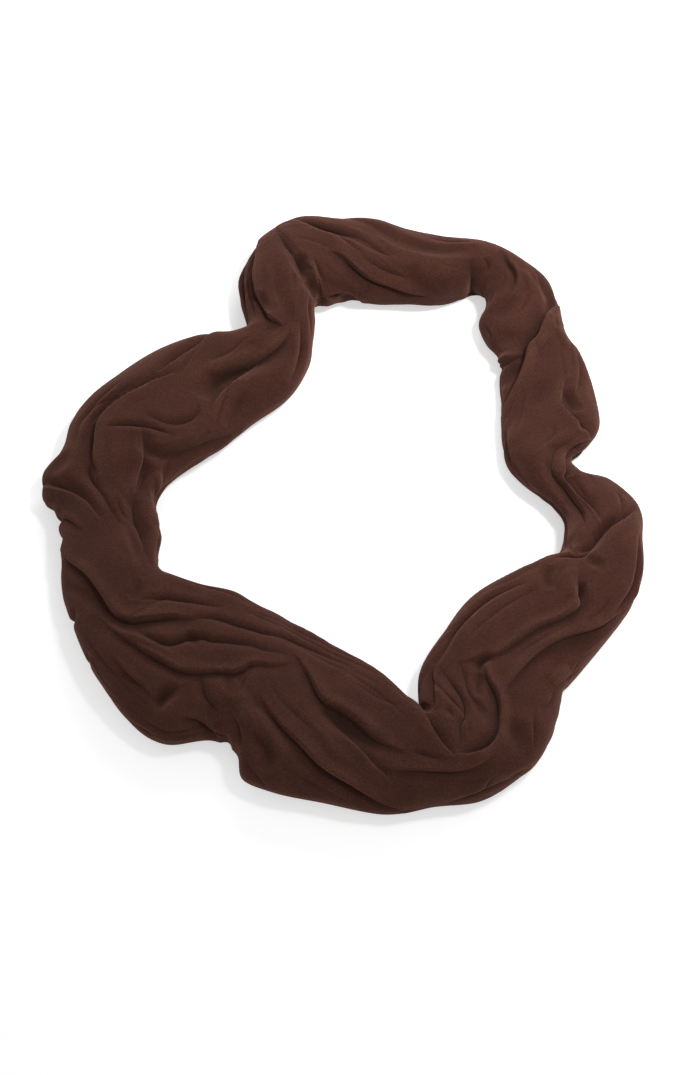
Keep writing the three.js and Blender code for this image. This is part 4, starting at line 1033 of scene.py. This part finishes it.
def cloth_piece(name, outer, inner, normals, hollow, first, last, along_start):
    """One stretch of the shell: outer wall, coarser inner wall and the two rims."""
    row_count, size = outer.shape[0], outer.shape[1]
    rows = np.arange(first, last + 1) % row_count
    inner_rows = np.unique([*range(0, len(rows), INNER_STRIDE), len(rows) - 1])
    outer_points = outer[rows]
    inner_points = inner[rows[inner_rows]]
    points = np.concatenate([outer_points.reshape(-1, 3), inner_points.reshape(-1, 3)])
    inner_start = len(rows) * size

    def quads(count, start, reverse):
        ring, step = np.meshgrid(np.arange(count - 1), np.arange(size), indexing="ij")
        here, ahead = start + ring * size, start + (ring + 1) * size
        beside = (step + 1) % size
        corners = [here + step, ahead + step, ahead + beside, here + beside]
        return np.stack(corners[::-1] if reverse else corners, -1).reshape(-1, 4)

    def rim(outer_row, inner_row, reverse):
        step = np.arange(size)
        beside = (step + 1) % size
        outer_ring, inner_ring = outer_row * size, inner_start + inner_row * size
        corners = [outer_ring + step, outer_ring + beside, inner_ring + beside, inner_ring + step]
        return np.stack(corners[::-1] if reverse else corners, -1)

    faces = np.concatenate([
        quads(len(rows), 0, False),
        quads(len(inner_rows), inner_start, True),
        rim(0, 0, False),
        rim(len(rows) - 1, len(inner_rows) - 1, True),
    ])
    mesh = bpy.data.meshes.new(name)
    mesh.from_pydata(points.tolist(), [], faces.tolist())

    along = along_start + np.arange(len(rows)) * ROW_STEP * MM
    girth = girth_lengths(outer_points)
    outer_place = np.stack([girth, np.broadcast_to(along[:, None], girth.shape)], -1).reshape(-1, 2)
    inner_girth = girth[inner_rows]
    inner_place = np.stack([inner_girth, np.broadcast_to(along[inner_rows, None], inner_girth.shape)], -1)
    place = np.concatenate([outer_place, inner_place.reshape(-1, 2)])
    loops = np.empty(len(mesh.loops), int)
    mesh.loops.foreach_get("vertex_index", loops)
    layer = mesh.uv_layers.new(name="cloth")
    layer.uv.foreach_set("vector", place[loops].astype(np.float32).ravel())

    # The hollow attribute carries the painted shade and painted highlight of the cloth's colour.
    depth = mesh.attributes.new("hollow", "FLOAT", "POINT")
    depth_values = np.concatenate([hollow[rows].ravel(), np.zeros(inner_points.shape[0] * size)])
    depth.data.foreach_set("value", depth_values.astype(np.float32))

    mesh.shade_smooth()
    inner_normals = -normals[rows[inner_rows]]
    all_normals = np.concatenate([normals[rows].reshape(-1, 3), inner_normals.reshape(-1, 3)])
    mesh.normals_split_custom_set_from_vertices(all_normals.tolist())
    piece = bpy.data.objects.new(name, mesh)
    bpy.context.collection.objects.link(piece)
    return piece


# Materials.

def linear(code):
    """An sRGB hex colour as linear values."""
    values = [int(code[index:index + 2], 16) / 255 for index in (1, 3, 5)]
    lights = [value / 12.92 if value <= 0.04045 else ((value + 0.055) / 1.055) ** 2.4 for value in values]
    return lights + [1]


def add_node(tree, kind, links=(), **settings):
    """A node with its settings, and its inputs linked from (input, node, output)."""
    node = tree.nodes.new(kind)
    for key, value in settings.items():
        if key.startswith("in_"):
            socket = key[3:].replace("_", " ")
            node.inputs[int(socket) if socket.isdigit() else socket].default_value = value
        else:
            setattr(node, key, value)
    for target, source, output in links:
        tree.links.new(source.outputs[output], node.inputs[target])
    return node


def brushed_jersey():
    """Brushed cotton jersey: a fine knit under a short raised nap, dull, with light rims where the nap
    is seen from the side, and its colour painted darker in hollows as painted shade and lighter on lips as
    painted highlight."""
    material = bpy.data.materials.new("brushed_cotton_jersey")
    material.use_nodes = True
    tree = material.node_tree
    shader = tree.nodes["Principled BSDF"]
    shader.inputs["Roughness"].default_value = 0.95
    shader.inputs["Specular IOR Level"].default_value = 0.15
    shader.inputs["Sheen Weight"].default_value = SHEEN_WEIGHT
    shader.inputs["Sheen Roughness"].default_value = SHEEN_ROUGHNESS
    shader.inputs["Sheen Tint"].default_value = linear(SHEEN_COLOUR)

    place = add_node(tree, "ShaderNodeTexCoord")
    tufts = add_node(tree, "ShaderNodeTexNoise", [("Vector", place, "Object")],
                     in_Scale=1 / TUFT_SIZE, in_Detail=3.0, in_Roughness=0.7)
    patches = add_node(tree, "ShaderNodeTexNoise", [("Vector", place, "Object")],
                       in_Scale=1 / NAP_PATCH_SIZE, in_Detail=3.0, in_Roughness=0.55)
    depth = add_node(tree, "ShaderNodeAttribute", attribute_name="hollow")
    # Painted shade and painted highlight: the colour goes from darkest 4 mm below its surroundings to
    # lightest 2.5 mm above them.
    shade = add_node(tree, "ShaderNodeMapRange", [("Value", depth, "Fac")],
                     in_From_Min=-4.0, in_From_Max=2.5, in_To_Min=0.0, in_To_Max=1.0)
    painted_light_colours = add_node(tree, "ShaderNodeValToRGB", [("Fac", shade, "Result")])
    ramp = painted_light_colours.color_ramp
    ramp.elements[0].color = linear(PAINTED_SHADE_AND_THREAD_PLY_COLOUR)
    ramp.elements[1].color = linear(PAINTED_LIP_HIGHLIGHT_COLOUR)
    middle = ramp.elements.new(0.62)
    middle.color = linear(CLOTH_COLOUR)
    mottle = add_node(tree, "ShaderNodeMapRange", [("Value", patches, "Fac")],
                      in_From_Min=0.3, in_From_Max=0.7, in_To_Min=0.86, in_To_Max=1.14)
    fleck = add_node(tree, "ShaderNodeMapRange", [("Value", tufts, "Fac")],
                     in_From_Min=0.3, in_From_Max=0.7, in_To_Min=0.56, in_To_Max=1.44)
    both = add_node(tree, "ShaderNodeMath", [(0, mottle, "Result"), (1, fleck, "Result")],
                    operation="MULTIPLY")
    tone = add_node(tree, "ShaderNodeVectorMath", [(0, painted_light_colours, "Color"), ("Scale", both, "Value")],
                    operation="SCALE")
    tree.links.new(tone.outputs["Vector"], shader.inputs["Base Color"])

    on_cloth = add_node(tree, "ShaderNodeUVMap", uv_map="cloth")
    wales = add_node(tree, "ShaderNodeTexWave", [("Vector", on_cloth, "UV")], wave_type="BANDS",
                     bands_direction="X", in_Scale=math.pi / 10 / WALE_STEP, in_Distortion=1.2,
                     in_Detail=1.0)
    knit = add_node(tree, "ShaderNodeBump", [("Height", wales, "Fac")], in_Strength=0.12, in_Distance=0.0002)
    nap = add_node(tree, "ShaderNodeBump", [("Height", tufts, "Fac"), ("Normal", knit, "Normal")],
                   in_Strength=0.8, in_Distance=0.001)
    tree.links.new(nap.outputs["Normal"], shader.inputs["Normal"])
    return material


# The join's stitches.

def stitch_tree(material):
    """Slip stitches along a path: a short thread at every step, with its length in the path's direction."""
    tree = bpy.data.node_groups.new("slip_stitches", "GeometryNodeTree")
    tree.interface.new_socket("Path", in_out="INPUT", socket_type="NodeSocketGeometry")
    for name in ("Step", "Length", "Width"):
        tree.interface.new_socket(name, in_out="INPUT", socket_type="NodeSocketFloat")
    tree.interface.new_socket("Stitches", in_out="OUTPUT", socket_type="NodeSocketGeometry")
    given = add_node(tree, "NodeGroupInput")
    curve = add_node(tree, "GeometryNodeMeshToCurve", [("Mesh", given, "Path")])
    places = add_node(tree, "GeometryNodeCurveToPoints",
                      [("Curve", curve, "Curve"), ("Length", given, "Step")], mode="LENGTH")
    thread = add_node(tree, "GeometryNodeMeshUVSphere", in_Segments=8, in_Rings=6, in_Radius=0.5)
    size = add_node(tree, "ShaderNodeCombineXYZ",
                    [("X", given, "Width"), ("Y", given, "Width"), ("Z", given, "Length")])
    stitches = add_node(tree, "GeometryNodeInstanceOnPoints", [
        ("Points", places, "Points"), ("Instance", thread, "Mesh"), ("Rotation", places, "Rotation"),
        ("Scale", size, "Vector"),
    ])
    real = add_node(tree, "GeometryNodeRealizeInstances", [("Geometry", stitches, "Instances")])
    smooth = add_node(tree, "GeometryNodeSetShadeSmooth", [("Geometry", real, "Geometry")])
    coloured = add_node(tree, "GeometryNodeSetMaterial", [("Geometry", smooth, "Geometry")],
                        in_Material=material)
    add_node(tree, "NodeGroupOutput", [("Stitches", coloured, "Geometry")])
    return tree


def join_stitches(path, material):
    """The slip stitches that close the join, as a plain mesh."""
    count = len(path)
    line = bpy.data.meshes.new("join_path")
    line.from_pydata(path.tolist(), [(index, (index + 1) % count) for index in range(count)], [])
    holder = bpy.data.objects.new("join_path", line)
    bpy.context.collection.objects.link(holder)
    modifier = holder.modifiers.new("slip_stitches", "NODES")
    tree = stitch_tree(material)
    modifier.node_group = tree
    sizes = {"Step": STITCH_STEP, "Length": STITCH_LENGTH, "Width": STITCH_WIDTH}
    for item in tree.interface.items_tree:
        if item.name in sizes:
            modifier[item.identifier] = sizes[item.name] * MM
    bpy.context.view_layer.update()
    evaluated = holder.evaluated_get(bpy.context.evaluated_depsgraph_get())
    mesh = bpy.data.meshes.new_from_object(evaluated)
    bpy.data.objects.remove(holder)
    mesh.name = "join_stitches"
    stitches = bpy.data.objects.new("join_stitches", mesh)
    bpy.context.collection.objects.link(stitches)
    return stitches


def thread_material():
    """The spun thread of the join, a little darker than the cloth."""
    material = bpy.data.materials.new("sewing_thread")
    material.use_nodes = True
    tree = material.node_tree
    shader = tree.nodes["Principled BSDF"]
    shader.inputs["Roughness"].default_value = 0.8
    place = add_node(tree, "ShaderNodeTexCoord")
    plies = add_node(tree, "ShaderNodeTexNoise", [("Vector", place, "Object")], in_Scale=1 / PLY_SIZE)
    tones = add_node(tree, "ShaderNodeValToRGB", [("Fac", plies, "Fac")])
    tones.color_ramp.elements[0].color = linear(PAINTED_SHADE_AND_THREAD_PLY_COLOUR)
    tones.color_ramp.elements[1].color = linear(CLOTH_COLOUR)
    tree.links.new(tones.outputs["Color"], shader.inputs["Base Color"])
    return material


# Build.

outer, inner, hollow, bounds, seam_path = cloth_ring()
normals = ring_normals(outer)
jersey = brushed_jersey()
stitches = join_stitches(seam_path, thread_material())
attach(stitches, "root")
travelled = 0.0
for stretch, (first, last) in zip(STRETCHES, bounds):
    piece = cloth_piece(f"cloth_{stretch['name']}", outer, inner, normals, hollow, first, last, travelled)
    travelled += (last - first) * ROW_STEP * MM
    piece.data.materials.append(jersey)
    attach(piece, "root")
    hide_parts(stretch["name"])


# Floor, lights and camera.

def white_surface():
    """A white surface that is evenly lit for the camera and takes a soft shadow."""
    material = bpy.data.materials.new("white_sweep")
    material.use_nodes = True
    tree = material.node_tree
    shader = tree.nodes["Principled BSDF"]
    shader.inputs["Base Color"].default_value = linear(FLOOR_COLOUR)
    shader.inputs["Roughness"].default_value = 1.0
    shader.inputs["Specular IOR Level"].default_value = 0.0
    path = add_node(tree, "ShaderNodeLightPath")
    glow = add_node(tree, "ShaderNodeMath", [(0, path, "Is Camera Ray")], operation="MULTIPLY",
                    in_1=FLOOR_GLOW)
    shader.inputs["Emission Color"].default_value = linear("#ffffff")
    tree.links.new(glow.outputs["Value"], shader.inputs["Emission Strength"])
    return material


floor_mesh = bpy.data.meshes.new("floor")
corners = [(x * FLOOR_HALF, y * FLOOR_HALF, 0) for x, y in ((-1, -1), (1, -1), (1, 1), (-1, 1))]
floor_mesh.from_pydata(corners, [], [(0, 1, 2, 3)])
floor = bpy.data.objects.new("floor", floor_mesh)
floor.data.materials.append(white_surface())
bpy.context.collection.objects.link(floor)

world = bpy.data.worlds.new("studio")
bpy.context.scene.world = world
world.use_nodes = True
sky = world.node_tree.nodes["Background"]
sky.inputs["Color"].default_value = linear("#ffffff")
sky.inputs["Strength"].default_value = SKY_STRENGTH

for entry in LAMPS:
    lamp = bpy.data.lights.new(entry["name"], entry["kind"])
    lamp.energy = entry["power"]
    if entry["kind"] == "SPOT":
        lamp.shadow_soft_size = entry["size"]
        lamp.spot_size = math.radians(KEY_LAMP_ANGLE)
        lamp.spot_blend = 1.0
    else:
        lamp.size = entry["size"]
    holder = bpy.data.objects.new(entry["name"], lamp)
    bpy.context.collection.objects.link(holder)
    holder.location = entry["place"]
    direction = Vector(entry["aim"]) - Vector(entry["place"])
    holder.rotation_euler = direction.to_track_quat("-Z", "Y").to_euler()

lens = bpy.data.cameras.new("camera")
lens.lens = LENS_LENGTH
lens.sensor_fit = "VERTICAL"
lens.sensor_height = FILM_HEIGHT
camera = bpy.data.objects.new("camera", lens)
bpy.context.collection.objects.link(camera)
aim = Vector(CAMERA_AIM)
elevation = math.radians(CAMERA_ELEVATION)
camera.location = aim + Vector((0, -math.cos(elevation), math.sin(elevation))) * CAMERA_DISTANCE
camera.rotation_euler = (math.pi / 2 - elevation, 0, 0)
bpy.context.scene.camera = camera
bpy.context.scene.view_settings.view_transform = "Standard"
